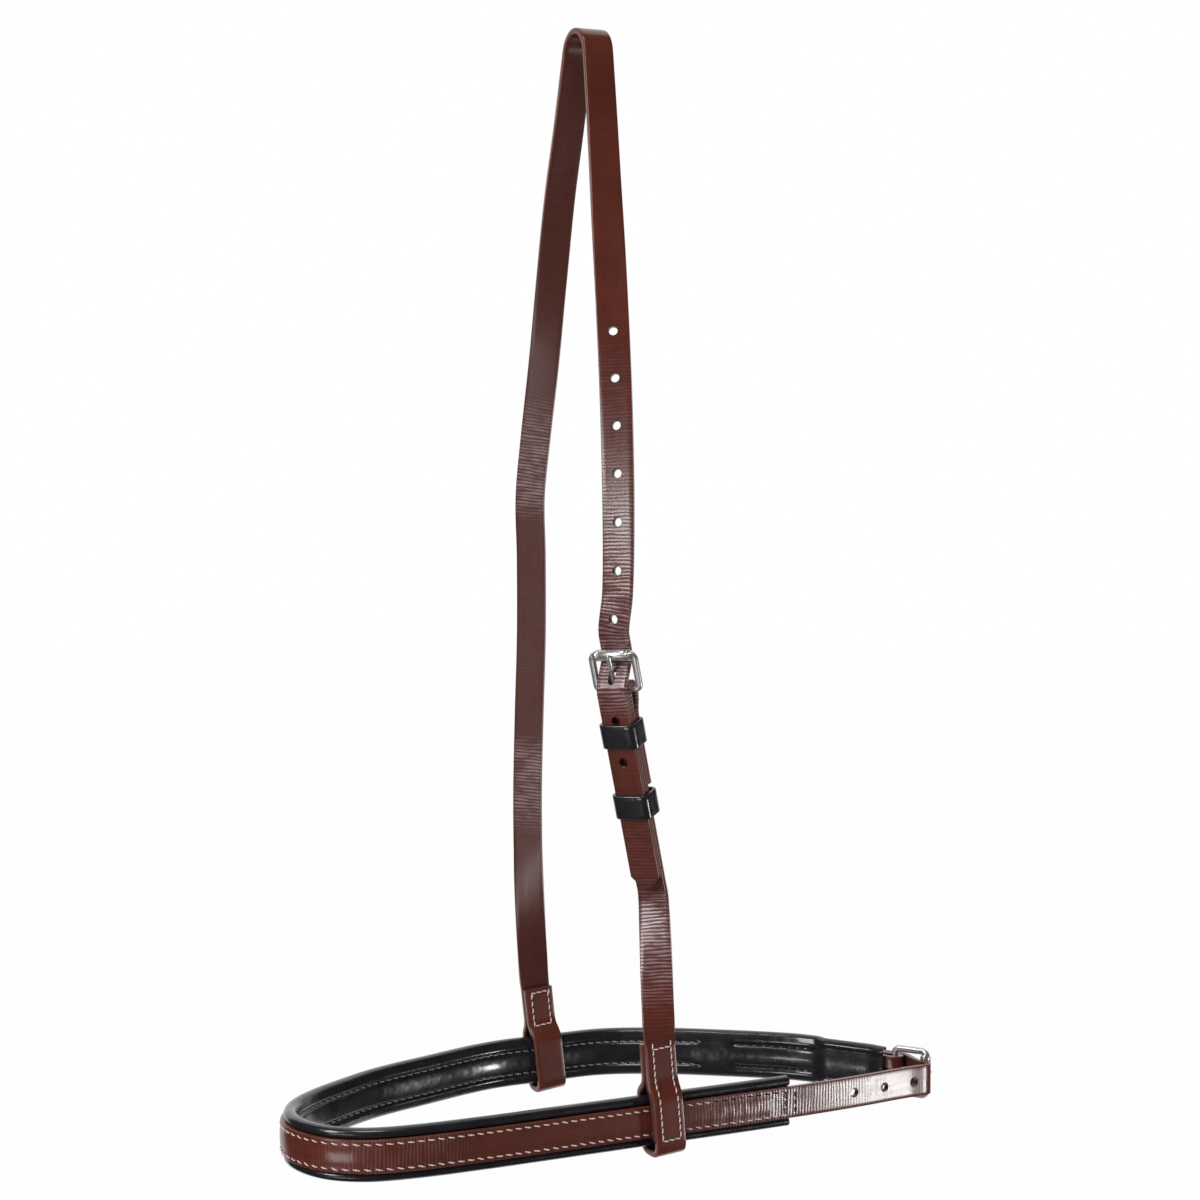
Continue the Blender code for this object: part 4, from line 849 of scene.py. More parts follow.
def stitches(name, places, runs, outs, length, slant=0.0):
    """Stitches as bent capsules. For t from -1 to 1 along a stitch and turns p round it:
    place + t x length/2 x run + (THREAD_RISE x (1 - t²) + 0.4 width - THREAD_SUNK) x out +
    r(t) x (cos p x side + 0.8 sin p x out), where r(t) = width/2 x sqrt(1 - t⁴). Slant turns
    the run in the leather."""
    t = np.array([-0.99, -0.8, -0.4, 0.0, 0.4, 0.8, 0.99])
    p = np.arange(6) / 6 * math.tau
    outs = outs / np.linalg.norm(outs, axis=1)[:, None]
    sides = np.cross(runs, outs)
    slant = np.broadcast_to(np.radians(slant), len(places))[:, None]
    runs, sides = (runs * np.cos(slant) + sides * np.sin(slant),
                   sides * np.cos(slant) - runs * np.sin(slant))
    girth = (THREAD_WIDTH / 2 * np.sqrt(1 - t**4))[None, :, None, None]
    middle = places[:, None] + (t * length / 2)[None, :, None] * runs[:, None]
    height = THREAD_RISE * (1 - t**2) + THREAD_WIDTH * 0.4 - THREAD_SUNK
    middle = middle + height[None, :, None] * outs[:, None]
    spokes = np.cos(p)[None, None, :, None] * sides[:, None, None]
    spokes = spokes + 0.8 * np.sin(p)[None, None, :, None] * outs[:, None, None]
    points = middle[:, :, None] + girth * spokes
    faces = skin(len(t), len(p))
    one = np.array([face for face in faces if len(face) == 4])
    ends = np.array([face for face in faces if len(face) == len(p)])
    if np.einsum("i,i->", np.cross(sides[0], outs[0]), runs[0]) > 0.0:
        one, ends = one[:, ::-1], ends[:, ::-1]
    starts = np.arange(len(places))[:, None, None] * len(t) * len(p)
    faces = (one[None] + starts).reshape(-1, 4).tolist()
    faces += (ends[None] + starts).reshape(-1, len(p)).tolist()
    made = mesh_object(name, points.reshape(-1, 3) * MM, faces)
    made.data.shade_smooth()
    twist = np.broadcast_to(t[None, :, None] * length / 2, points.shape[:3])
    around = np.broadcast_to(p[None, None], points.shape[:3])
    write_map(made, "thread", np.stack([twist, around], -1).reshape(-1, 2))
    return made


def wound(tree, twist, strands=1.0):
    """The pattern of strands that wind round a thread once in twist millimetres, from 0 in
    their hollows to 1: half of 1 + sin(strands x (turn + tau x distance along / twist))."""
    winding = add_node(tree, "UVMap", uv_map="thread").outputs["UV"]
    winding = add_node(tree, "SeparateXYZ", {0: winding})
    phase = add_node(tree, "Math", {0: winding.outputs["X"], 1: math.tau / twist,
                                    2: winding.outputs["Y"]}, operation="MULTIPLY_ADD")
    phase = add_node(tree, "Math", {0: phase.outputs[0], 1: strands}, operation="MULTIPLY")
    wave = add_node(tree, "Math", {0: phase.outputs[0]}, operation="SINE")
    return add_node(tree, "MapRange", {"Value": wave.outputs[0], "From Min": -1.0}).outputs[0]


def waxed_thread(name, colour, shade):
    """Twisted linen thread drawn through wax: a pale ridge winds round it once in 1.2 mm beside a
    hollow darkened by painted shade, both with a low sheen."""
    made, tree, shader = new_material(name)
    two_tone(tree, shader, wound(tree, THREAD_TWIST), shade, colour, 0.0001, 0.6)
    return made


def sewn_lines(points, across, run, side, lines, pitch):
    """Places, runs and outward directions of the stitches of lines on a face of a strap, each
    line ((along, across), (along, across)) and cut into stitches of about the pitch."""
    along, wide, face = frames(points, across)
    places, runs, outs = [], [], []
    for (a0, c0), (a1, c1) in lines:
        length = math.hypot(a1 - a0, c1 - c0)
        count = max(1, int(round(length / pitch)))
        share = (np.arange(count) + 0.5) / count
        a = a0 + share * (a1 - a0)
        c = (c0 + share * (c1 - c0))[:, None]
        place, ahead, aside, out = [rows_at(table, run, a) for table in (points, along, wide, face)]
        places.append(place + c * aside + side * HALF_THICK * out)
        runs.append(((a1 - a0) * ahead + (c1 - c0) * aside) / length)
        outs.append(side * out)
    return np.vstack(places), np.vstack(runs), np.vstack(outs)


def box_lines(start, end, half):
    """The four lines of a sewn box, as (along, across)."""
    corners = [(start, -half), (end, -half), (end, half), (start, half)]
    return list(zip(corners, corners[1:] + corners[:1]))


seam_half = STRAP_WIDTH / 2 - BOX_INSET
cream_thread = waxed_thread("waxed_cream_thread", THREAD, THREAD_SHADE)
near_end = float(run_of(near_loop.path(near_down))[-1])
near_start = distance_to(cheek_points, near_top[1])
near_box = box_lines(near_start + END_MARGIN, near_start + near_end - GAP, seam_half)
near_box += [((near_start + END_MARGIN - OVERSEWN, c), (near_start + END_MARGIN, c))
             for c in (-seam_half, seam_half)]
fold_end = float(crown_run[-1])
far_box = box_lines(fold_end - FAR_BOX_LENGTH, fold_end - END_MARGIN, seam_half)
far_box += [((fold_end - END_MARGIN - OVERSEWN, c), (fold_end - FAR_BOX_MARGIN, c))
            for c in (FAR_BOX_ASIDE - seam_half, FAR_BOX_ASIDE + seam_half)]
chape_box = box_lines(END_MARGIN, CHEEK_CHAPE - CHAPE_BOX_UNTIL, seam_half)
on_cheek = (cheek_points, cheek_across, cheek_run, 1.0)
on_crown = (crown_points, crown_across, crown_run, -1.0)
for place, face, box in (("near_loop", on_cheek, near_box), ("far_loop", on_crown, far_box),
                         ("cheek_chape", on_cheek, chape_box)):
    sewn = stitches(place + "_stitches", *sewn_lines(*face, box, LOOP_PITCH),
                    LOOP_PITCH * STITCH_SHARE, STITCH_SLANT)
    finish_piece(sewn, "head_strap", place + "_thread", cream_thread)


# The cheek keepers. Two bands of black glazed leather, 10 mm long and 1.3 mm thick, bent round
# the three layers of strap. The upper one is held by the chape's stitching, and the lower one
# slides.

KEEPER_THICK = 1.3
KEEPER_CORNER = 1.5
KEEPER_EDGE = 0.45
KEEPER_BOW = 0.3
CHEEK_KEEPER_LENGTH = 10.0
CHEEK_UPPER_KEEPER_AT = 17.5
CHEEK_LOWER_KEEPER_AT = 47.5
GLAZED_BLACK = "141316"
GLAZED_BLACK_LIGHT = "211f24"


def rounded_box(half_x, half_y, radius, flats, corner):
    """Points round a box with rounded corners: flats along each side, corner round each turn."""
    points = []
    for sx, sy, start in ((1, 1, 0), (-1, 1, 90), (-1, -1, 180), (1, -1, 270)):
        middle = (sx * (half_x - radius), sy * (half_y - radius))
        points.append(arc(middle, radius, start, start + 90, corner))
    out = []
    for here, there in zip(points, points[1:] + points[:1]):
        share = np.linspace(0.0, 1.0, flats + 2)[1:-1, None]
        out += [here, here[-1] + share * (there[0] - here[-1])]
    return np.vstack(out)


def keeper(name, stack, at, length):
    """A band carried round the stack: a rounded box of its inner size plus half its thickness,
    bowed outwards by KEEPER_BOW x (1 - (w / half width)²) on its two wide faces."""
    low = CHAPE_RADIUS - LAYER - HALF_THICK - GAP
    high = TAIL_OFFSET + HALF_THICK + GAP
    half_n = (high - low + KEEPER_THICK) / 2
    half_w = HALF_WIDTH + GAP + KEEPER_THICK / 2
    loop = rounded_box(half_w, half_n, KEEPER_CORNER + KEEPER_THICK / 2, 7, 7)
    bow = KEEPER_BOW * np.clip(1.0 - (loop[:, 0] / half_w) ** 2, 0.0, 1.0)
    loop[:, 1] += np.sign(loop[:, 1]) * bow * (np.abs(loop[:, 1]) > half_n - 0.01)
    line = np.stack([np.full(len(loop), at), (low + high) / 2 + loop[:, 1]], 1)
    line = stack.path(line, loop[:, 0])
    section = strap_section(length / 2, KEEPER_THICK / 2, KEEPER_EDGE, 7)
    rings = carried(line, np.broadcast_to(stack.t, line.shape), section, closed=True)
    made = swept(name, rings, closed=True)
    around = np.broadcast_to(run_of(line)[:, None], rings.shape[:2])
    along = np.broadcast_to(section[:, 0], rings.shape[:2])
    write_map(made, "strap", np.stack([around, along], -1).reshape(-1, 2) * MM)
    return made


def glazed_black():
    """Black leather with a glazed finish: a thin clear film over a very fine grain, which
    mirrors lamps as soft-edged streaks and shows faint ripples where it is pulled round."""
    made, tree, shader = new_material("black_glazed_leather")
    place = add_node(tree, "TexCoord").outputs["Object"]
    place = add_node(tree, "VectorMath", {0: place, "Scale": 1.0 / MM},
                     operation="SCALE").outputs[0]
    cloud = add_node(tree, "TexNoise", {"Vector": place, "Scale": 0.12, "Detail": 3.0})
    tone = add_node(tree, "MixRGB", {"Fac": cloud.outputs["Fac"], "Color1": linear(GLAZED_BLACK),
                                     "Color2": linear(GLAZED_BLACK_LIGHT)})
    tree.links.new(tone.outputs[0], shader.inputs["Base Color"])
    polish = add_node(tree, "MapRange", {"Value": cloud.outputs["Fac"], "From Min": 0.3,
                                         "From Max": 0.7, "To Min": 0.24, "To Max": 0.32})
    tree.links.new(polish.outputs[0], shader.inputs["Roughness"])
    shader.inputs["Coat Weight"].default_value = 0.5
    shader.inputs["Coat Roughness"].default_value = 0.1
    # Grain drawn at 0.7 mm, and ripples over 5 mm
    grain = add_node(tree, "TexVoronoi", {"Vector": place, "Scale": 1.4}, feature="SMOOTH_F1")
    ripple = add_node(tree, "TexNoise", {"Vector": place, "Scale": 0.2, "Detail": 1.0})
    waves = add_node(tree, "Bump", {"Height": ripple.outputs["Fac"], "Distance": 0.0004,
                                    "Strength": 0.6})
    pores = add_node(tree, "Bump", {"Height": grain.outputs["Distance"], "Distance": 0.00002,
                                    "Normal": waves.outputs[0]})
    tree.links.new(pores.outputs[0], shader.inputs["Normal"])
    return made


black_leather = glazed_black()
for node, body, at in (("cheek_upper_keeper", "head_strap", CHEEK_UPPER_KEEPER_AT),
                       ("cheek_lower_keeper", "cheek_runner", CHEEK_LOWER_KEEPER_AT)):
    band = keeper(node + "_band", cheek, at, CHEEK_KEEPER_LENGTH)
    finish_piece(band, body, node, black_leather)


# The two roller buckles. Each is a forged steel loop, polished bright, with a round heel bar
# in the chape, a tongue bent round that bar, and a rolled steel tube that turns on the front
# bar so that the strap pulls through easily.

CHIN_HEEL = (134.7, -28.7)
CHIN_HEADING = 125.0
BUCKLE_WINDOW = 16.4
SIDE_BAR_WIDTH = 2.8
SIDE_BAR_DEPTH = 2.2
AXLE_RADIUS = 1.2
ROLLER_WALL = 0.9
ROLLER_END_GAP = 0.3
ROLLER_EDGE = 0.35
ROLLER_BEVEL = 0.1
FRAME_CORNER = 1.8
KNUCKLE = (2.2, 1.7)
KNUCKLE_STEP = 0.03
BAR_FLATNESS = 0.7
TONGUE_WRAP = 255.0
TONGUE_OVERHANG = 1.6
ROLLER_GROOVE = (1.7, 0.35, 0.16)
STEEL = "dad7d7"
STEEL_SHADE = "bcb9ba"

chin_turn = math.radians(CHIN_HEADING)
chin_down = np.array([math.cos(chin_turn), math.sin(chin_turn), 0.0])
chin_outward = np.array([math.sin(chin_turn), -math.cos(chin_turn), 0.0])
chin = Stack((*CHIN_HEEL, -BAND_DROP), chin_down, chin_outward)


def buckle_frame(name, stack):
    """A section carried round a box with rounded corners. Its half sizes go from the round
    heel bar's to those of the flat side bars by the share |cos| of the corner's turn. At the
    two front corners they start as a knuckle as thick as the roller. The section is (cos p,
    sin p), both to the power BAR_FLATNESS with their signs kept, times the half sizes."""
    half_w = BUCKLE_WINDOW / 2 + SIDE_BAR_WIDTH / 2
    side = np.array([SIDE_BAR_DEPTH / 2, SIDE_BAR_WIDTH / 2])
    places, sizes = [], []
    for sw, st, start in ((1, 1, 0), (-1, 1, 90), (-1, -1, 180), (1, -1, 270)):
        bar = np.array([HEEL_RADIUS, HEEL_RADIUS]) if st > 0 else np.array(KNUCKLE)
        middle = (sw * (half_w - FRAME_CORNER), (st - 1) * BUCKLE_REACH / 2 - st * FRAME_CORNER)
        turn = arc(middle, FRAME_CORNER, start, start + 90, 13)
        share = np.abs(np.cos(np.radians(np.linspace(start, start + 90, 13))))[:, None]
        size = bar + eased(share) * (side - bar)
        if st < 0:
            axle = [turn[-1] + (KNUCKLE_STEP, 0.0)] if sw < 0 else [turn[0] - (KNUCKLE_STEP, 0.0)]
            thin = [(AXLE_RADIUS, AXLE_RADIUS)]
            turn = np.vstack([turn, axle] if sw < 0 else [axle, turn])
            size = np.vstack([size, thin] if sw < 0 else [thin, size])
        places.append(turn)
        sizes.append(size)
    flat, sizes = np.vstack(places), np.vstack(sizes)
    line = stack.path(np.stack([flat[:, 1], np.zeros(len(flat))], 1), flat[:, 0])
    oval = circle(24)
    section = np.sign(oval) * np.abs(oval) ** BAR_FLATNESS * sizes[:, None]
    rings = carried(line, np.broadcast_to(stack.n, line.shape), section, closed=True)
    return swept(name, rings, closed=True)


def buckle_roller(name, stack):
    """A tube turned from a section (along the bar, radius): rounded ends, and beside each end
    a groove, depth x cos(pi/2 x distance from its middle / its half width)."""
    half = BUCKLE_WINDOW / 2 + SIDE_BAR_WIDTH / 2 - FRAME_CORNER - ROLLER_END_GAP
    inner = ROLLER_RADIUS - ROLLER_WALL
    end = arc((half - ROLLER_EDGE, ROLLER_RADIUS - ROLLER_EDGE), ROLLER_EDGE, 90.0, 0.0, 6)
    inset, half_groove, depth = ROLLER_GROOVE
    x = np.linspace(-half_groove, half_groove, 7)
    groove = np.stack([half - inset + x,
                       ROLLER_RADIUS - depth * np.cos(x / half_groove * math.pi / 2)], 1)
    right = np.vstack([groove, end, [(half, inner + ROLLER_BEVEL), (half - ROLLER_BEVEL, inner)]])
    section = np.vstack([right, right[::-1] * (-1.0, 1.0)])
    rings = [stack.path(section[:, 1:] * spoke - (BUCKLE_REACH, 0.0), section[:, 0])
             for spoke in circle(48)]
    return swept(name, np.stack(rings), closed=True)


def buckle_tongue(name, stack):
    """A round pin carried round the heel bar by TONGUE_WRAP degrees and straight on to the
    roller, flattened a little towards its rounded tip."""
    ring = HEEL_RADIUS + TONGUE_PLAY + TONGUE_RADIUS
    rest = ROLLER_RADIUS + GAP + TONGUE_RADIUS
    slope = math.asin((rest - ring) / BUCKLE_REACH)
    lifts_at = 90.0 - math.degrees(slope)
    wrap = arc((0.0, 0.0), ring, lifts_at - TONGUE_WRAP, lifts_at, 48)
    reach = BUCKLE_REACH + TONGUE_OVERHANG
    share = np.append(np.linspace(0.03, 0.94, 24), [0.96, 0.98, 0.992, 1.0])
    straight = wrap[-1] + share[:, None] * np.array([-reach, reach * math.tan(slope)])
    line = stack.path(np.vstack([wrap, straight]))
    radius = np.full(len(line), TONGUE_RADIUS)
    radius[-4:] = TONGUE_RADIUS * np.array([0.95, 0.84, 0.66, 0.35])
    radius[0] = TONGUE_RADIUS * 0.7
    sections = radius[:, None, None] * circle(20)
    return swept(name, carried(line, np.broadcast_to(stack.w, line.shape), sections))


polished_steel, tree, shader = new_material("polished_steel")
# Polished steel: soft reflections broken by polishing marks, over a pale grey of its own
place = add_node(tree, "TexCoord").outputs["Object"]
marks = add_node(tree, "TexNoise", {"Vector": place, "Scale": 900.0, "Detail": 2.0})
polish = add_node(tree, "MapRange", {"Value": marks.outputs["Fac"], "From Min": 0.3,
                                     "From Max": 0.7, "To Min": 0.3, "To Max": 0.36})
two_tone(tree, shader, marks.outputs["Fac"], STEEL, STEEL_SHADE, 0.000001)
tree.links.new(polish.outputs[0], shader.inputs["Roughness"])
shader.inputs["Metallic"].default_value = 0.85
for side, stack in (("cheek", cheek), ("chin", chin)):
    for part, make in (("frame", buckle_frame), ("roller", buckle_roller),
                       ("tongue", buckle_tongue)):
        piece = make(f"{side}_buckle_{part}_steel", stack)
        finish_piece(piece, f"{side}_{part}", f"{side}_buckle_{part}", polished_steel)


# The noseband's facing. One chestnut strap: folded round the chin buckle's heel bar at its off
# end, sewn over the padded lining all round the nose, and running on unpadded as the chin
# strap, which passes through the buckle and ends in a blunt point.

CHIN_CHAPE = 75.0
CHIN_STRAIGHT = 30.0
CHIN_TURN_RADIUS = 3.5
CHIN_TURN_LEAD = 0.5
CHIN_TAIL = 74.0
CHIN_HOLE_PITCH = 16.0
CHIN_HOLES = 3
FIRST_CHIN_HOLE = 25.2
STRAP_OFFSET = 1.85
PADDED_END_X = 67.0
SEAM_START = 86.0
SEAM_UP = 4.9
SEAM_GROOVE = 0.22
FACING_CROWN = 0.35
REFERENCE_SHIFT = CHAPE_RADIUS - STRAP_OFFSET
BAND_LINE = [
    (108.5, 9.5), (96.0, 20.5), (82.0, 31.0), (67.5, 41.3), (52.0, 50.3), (39.0, 55.8),
    (28.0, FAR_SIDE_Y), (8.0, FAR_SIDE_Y), (-14.0, FAR_SIDE_Y), (-30.0, 55.0), (-50.0, 48.5),
    (-81.5, 37.5), (-104.0, 25.0), (-118.0, 15.5), (-129.0, 4.5), (-135.0, -9.0),
    (-134.5, -23.5), (-128.0, -37.0), (-115.0, -46.0), (-96.0, -49.6), (-70.0, -50.8),
    (-48.0, NEAR_SIDE_Y), (-25.0, NEAR_SIDE_Y), (15.0, NEAR_SIDE_Y), (56.0, NEAR_SIDE_Y),
    (82.0, -50.3), (104.0, -48.9), (119.0, -47.3),
]
# Crease amounts along the near band by X: they set the crease relief, and also where the painted
# sheen and painted shade of the creases go
BAND_CREASES_AND_SHEEN = [(-135.0, 0.03), (-120.0, 0.25), (-88.0, 0.25), (-75.0, 0.03), (16.0, 0.05),
                (28.0, 0.4), (38.0, 0.7), (60.0, 1.0), (68.0, 0.9), (71.0, 0.4), (90.0, 0.4),
                (110.0, 0.3), (120.0, 0.1)]
FAR_BAND_CREASES_AND_SHEEN = 0.08
UPRIGHT = np.array([[0.0, 0.0, 1.0]])

chin_side = chin.path([(t, REFERENCE_SHIFT) for t in (0.0, 15.0, 31.0)])[:, :2]
band_line = spline([(x, y, -BAND_DROP) for x, y in [*chin_side, *BAND_LINE]], 1.0)
band_run = run_of(band_line)
band_along = frames(band_line, UPRIGHT)[0]
band_out = np.stack([band_along[:, 1], -band_along[:, 0], np.zeros(len(band_line))], 1)
near_side = band_line[:, 1] < NEAR_SIDE_Y + 20.0
PADDED_END = float(np.interp(PADDED_END_X, band_line[near_side, 0], band_run[near_side]))


def on_band(distances, section):
    """Points at distances along the band: its middle line + v x outwards + u x up, for each
    (v, u) of a section, which may differ from station to station."""
    base, out = [rows_at(table, band_run, distances) for table in (band_line, band_out)]
    section = np.broadcast_to(section, (len(base), *np.shape(section)[-2:]))
    return base[:, None] + section[..., :1] * out[:, None] + section[..., 1:] * UPRIGHT


def band_path(distances, v):
    """Points at distances along the band's middle line, moved v outwards."""
    return on_band(np.asarray(distances, dtype=float), np.array([[v, 0.0]]))[:, 0]


chape_back = CHAPE_RADIUS - LAYER
folded = chin.path(chape_path(CHIN_STRAIGHT - 1.0))
turn_end = chin.path([(-BUCKLE_REACH - CHIN_TURN_LEAD, -BEHIND_ROLLER)])[0]
turn_middle = turn_end[:2] - CHIN_TURN_RADIUS * chin_outward[:2]
bend = arc(turn_middle, CHIN_TURN_RADIUS, -90.0, CHIN_HEADING - 90.0, 16)
bend = np.vstack([bend[0] - [(8.0, 0.0), (4.0, 0.0)], bend])
bend = np.column_stack([bend, np.full(len(bend), -BAND_DROP)])
nose_points, nose_across, nose_run = evened([
    (band_path(np.linspace(CHIN_CHAPE, CHIN_STRAIGHT, 40), chape_back - REFERENCE_SHIFT), UPRIGHT),
    (folded, UPRIGHT),
    (band_path(np.arange(4.0, band_run[-1], 1.0), STRAP_OFFSET), UPRIGHT),
    (bend, UPRIGHT),
    (chin.path(crossing_path(0.0)), UPRIGHT),
    (band_path(np.linspace(10.0, CHIN_TAIL, 50), TAIL_OFFSET - REFERENCE_SHIFT), UPRIGHT),
], STRAP_STEP, -tip_stations)
on_nose = float(distance_to(nose_points, band_path([4.0], STRAP_OFFSET)[0])) - 4.0


def facing_shape(sections, run):
    """Over the padding the facing is crowned by FACING_CROWN x (1 - (a / seam)²) between its
    two seams and pressed in by SEAM_GROOVE x exp(-((|a| - seam) / 0.5)²) along them."""
    at = run - on_nose
    padded = eased((at - SEAM_START) / 6.0) * eased((PADDED_END - at) / 4.0)
    a = sections[..., 0]
    face = sections[..., 1] > HALF_THICK - 0.01
    swell = FACING_CROWN * np.clip(1.0 - (a / SEAM_UP) ** 2, 0.0, 1.0)
    groove = SEAM_GROOVE * np.exp(-(((np.abs(a) - SEAM_UP) / 0.5) ** 2))
    sections[..., 1] += padded[:, None] * face * (swell - groove)
    return sections


near_creases_and_sheen = np.interp(nose_points[:, 0], *zip(*BAND_CREASES_AND_SHEEN))
nose_creases_and_sheen = np.where(nose_points[:, 1] < -30.0, near_creases_and_sheen, FAR_BAND_CREASES_AND_SHEEN)
facing = strap("noseband_facing", nose_points, nose_across, nose_run,
               pointed(nose_run[-1] - nose_run), nose_creases_and_sheen, shape=facing_shape)
slot_out(facing, chin)
half_way = len(nose_points) // 2
chin_hole = distance_to(nose_points[half_way:], tongue_hole(chin)) + nose_run[half_way]
punch_holes(facing, nose_points, nose_across, chin_hole,
            [TAIL_HOLE_PITCH * (k + 1) for k in range(TAIL_HOLES)]
            + [-FIRST_CHIN_HOLE - CHIN_HOLE_PITCH * k for k in range(CHIN_HOLES)])
finish_piece(facing, "noseband", "nose_strap", chestnut)


# The lining. Soft black glazed leather, laid inside the facing over a strip of foam and turned
# over a cotton cord at each edge, so that a shiny bead shows above and below the facing. The
# two seams pinch the padding into a channel. Over the chin buckle's chape it runs on to the
# heel bar with its edges only part rolled, and steps in twice to clear the folded strap.

LINING_THICK = 0.6
LINING_START = 3.5
LINING_STEP_FROM = 37.0
LINING_STEP_UNTIL = 31.0
LINING_STEP_IN = 1.2
LINING_OPEN_ROLL = 0.85
LINING_SHORT_LIP = 0.25
BOX_RISES = (35.0, 39.0)
BOX_FALLS = (74.0, 77.0)
PADDING_RISES = (88.0, 96.0)
PADDING_FALLS = 5.0
FOLD_STEP_FROM = 11.0
FOLD_STEP_UNTIL = 4.0
LINING_STEP = 1.2
FLANGE_TOP = 0.2
WALL_FACE = -3.9
FLANGE_END = 3.5
ROLL_RADIUS = (FLANGE_TOP - WALL_FACE) / 2
FLAT_EDGE = ROLL_RADIUS
ROLL_UP = BAND_HEIGHT / 2 - ROLL_RADIUS
BEAD_UP = 8.35
BEAD_OUT = -0.75
BEAD_HALF_UP = 2.15
BEAD_HALF_OUT = 2.65
PINCH = 0.75
BOX_PUFF = 0.9
PADDED_PUFF = 0.75
PUFF_HALF = 7.4
SIDE_PUFF = 0.25
SIDE_PUFF_UP = 6.5
COVE = 0.3
COVE_FROM = 7.3
COVE_OVER = 1.1
BEAD_OUT_FROM = 6.45
BEAD_IN_FROM = 8.4
BEAD_OVER = 0.5
END_RIDGE = 0.9


def rising(values, low, high):
    """0 below low and 1 above high, eased between them."""
    return eased((values - low) / (high - low))


def curled_edge(lip, rolled, count):
    """The lining's edge as (across, up) from where its flat wall ends: an arc that has turned
    by the share rolled of half a turn, and then a straight lip. One row a station."""
    arc_length = math.pi * ROLL_RADIUS
    flat = np.linspace(0.0, FLAT_EDGE, count + 9)
    turned = np.broadcast_to(np.linspace(0.0, arc_length, count), (len(lip), count))
    curled = np.hstack([turned, arc_length + np.linspace(0.0, 1.0, 10)[1:] * lip[:, None]])
    length = (1.0 - rolled)[:, None] * flat + rolled[:, None] * curled
    bent = np.minimum(length, arc_length * rolled[:, None])
    straight = (length - bent)[..., None]
    turn = bent / ROLL_RADIUS
    bow = np.stack([ROLL_RADIUS * (1.0 - np.cos(turn)), ROLL_RADIUS * np.sin(turn)], -1)
    return bow + straight * np.stack([np.sin(turn), np.cos(turn)], -1)


def lining_skin(distances):
    """The lining's outer face as (v, u), one row a station, from the tip of the lower flange
    round the wall to the tip of the upper flange. Where it is rolled, its edge follows an
    ellipse round the cord, and its wall is pinched by PINCH x exp(-((|u| - seam) / 0.75)²) at
    the seams, puffed by PADDED_PUFF or BOX_PUFF x (1 - (u / seam)²) between them, and by
    SIDE_PUFF x exp(-((|u| - SIDE_PUFF_UP) / 0.9)²) beside them. Where nothing is sewn it is
    puffed by BOX_PUFF x (1 - (u / PUFF_HALF)²). Near the buckle it steps in twice by
    LINING_STEP_IN, its edges are rolled by LINING_OPEN_ROLL with short lips, and ridges of
    END_RIDGE x exp(-((|u| - BEAD_UP) / 1.2)²) run on as the beads."""
    clear = rising(distances, LINING_STEP_UNTIL, LINING_STEP_FROM)
    beyond_fold = rising(distances, FOLD_STEP_UNTIL, FOLD_STEP_FROM)
    rolled = LINING_OPEN_ROLL + (1.0 - LINING_OPEN_ROLL) * clear
    edge_at = (LINING_STEP_UNTIL, LINING_STEP_FROM, CHIN_CHAPE + 1.0, CHIN_CHAPE + 6.0)
    edges = (ROLL_UP - LINING_SHORT_LIP, HALF_WIDTH + 2 * GAP, HALF_WIDTH + 2 * GAP, FLANGE_END)
    lip = ROLL_UP - np.interp(distances, edge_at, edges)
    edge = np.array([WALL_FACE, ROLL_UP]) + curled_edge(lip, rolled, 25)
    v, u = edge[..., 0], edge[..., 1]
    reach = np.sqrt(np.clip(1.0 - ((u - BEAD_UP) / BEAD_HALF_UP) ** 2, 0.0, 1.0))
    outer = v > WALL_FACE + ROLL_RADIUS
    beside = eased((u - BEAD_OUT_FROM) / BEAD_OVER)
    bead_out = FLANGE_TOP + beside * (BEAD_OUT + BEAD_HALF_OUT * reach - FLANGE_TOP)
    bead_in = BEAD_OUT - BEAD_HALF_OUT * reach
    beside = eased((u - BEAD_IN_FROM) / BEAD_OVER)
    bead_in = WALL_FACE + COVE + beside * (bead_in - WALL_FACE - COVE)
    bead = np.where(outer, bead_out, bead_in)
    edge[..., 0] = v + clear[:, None] * (bead - v)
    wall_u = np.linspace(-ROLL_UP, ROLL_UP, 61)
    seam = np.abs(np.abs(wall_u) - SEAM_UP)
    full = rising(distances, *PADDING_RISES) * rising(PADDED_END - distances, 0.0, PADDING_FALLS)
    sewn = rising(distances, *BOX_RISES) * (1.0 - rising(distances, *BOX_FALLS))
    sewn = np.maximum(sewn, full)
    between = np.clip(1.0 - (wall_u / SEAM_UP) ** 2, 0.0, 1.0)
    dip = PINCH * np.exp(-((seam / 0.75) ** 2)) - BOX_PUFF * between
    puff = (BOX_PUFF - PADDED_PUFF) * between
    puff -= SIDE_PUFF * np.exp(-(((np.abs(wall_u) - SIDE_PUFF_UP) / 0.9) ** 2))
    plain = (1.0 - sewn)[:, None] * BOX_PUFF * np.clip(1.0 - (wall_u / PUFF_HALF) ** 2, 0.0, 1.0)
    cove = COVE * eased((np.abs(wall_u) - COVE_FROM) / COVE_OVER)
    wall_v = WALL_FACE - plain + sewn[:, None] * dip + full[:, None] * puff + clear[:, None] * cove
    wall = np.stack([wall_v, np.broadcast_to(wall_u, wall_v.shape)], -1)
    mirrored = edge[:, ::-1] * np.array([1.0, -1.0])
    whole = np.concatenate([mirrored, wall[:, 1:-1], edge], 1)
    ridge = END_RIDGE * np.exp(-(((np.abs(whole[..., 1]) - BEAD_UP) / 1.2) ** 2))
    whole[..., 0] -= (1.0 - clear)[:, None] * ridge * (whole[..., 0] < WALL_FACE + ROLL_RADIUS)
    whole[..., 0] -= (2.0 - clear - beyond_fold)[:, None] * LINING_STEP_IN
    return whole


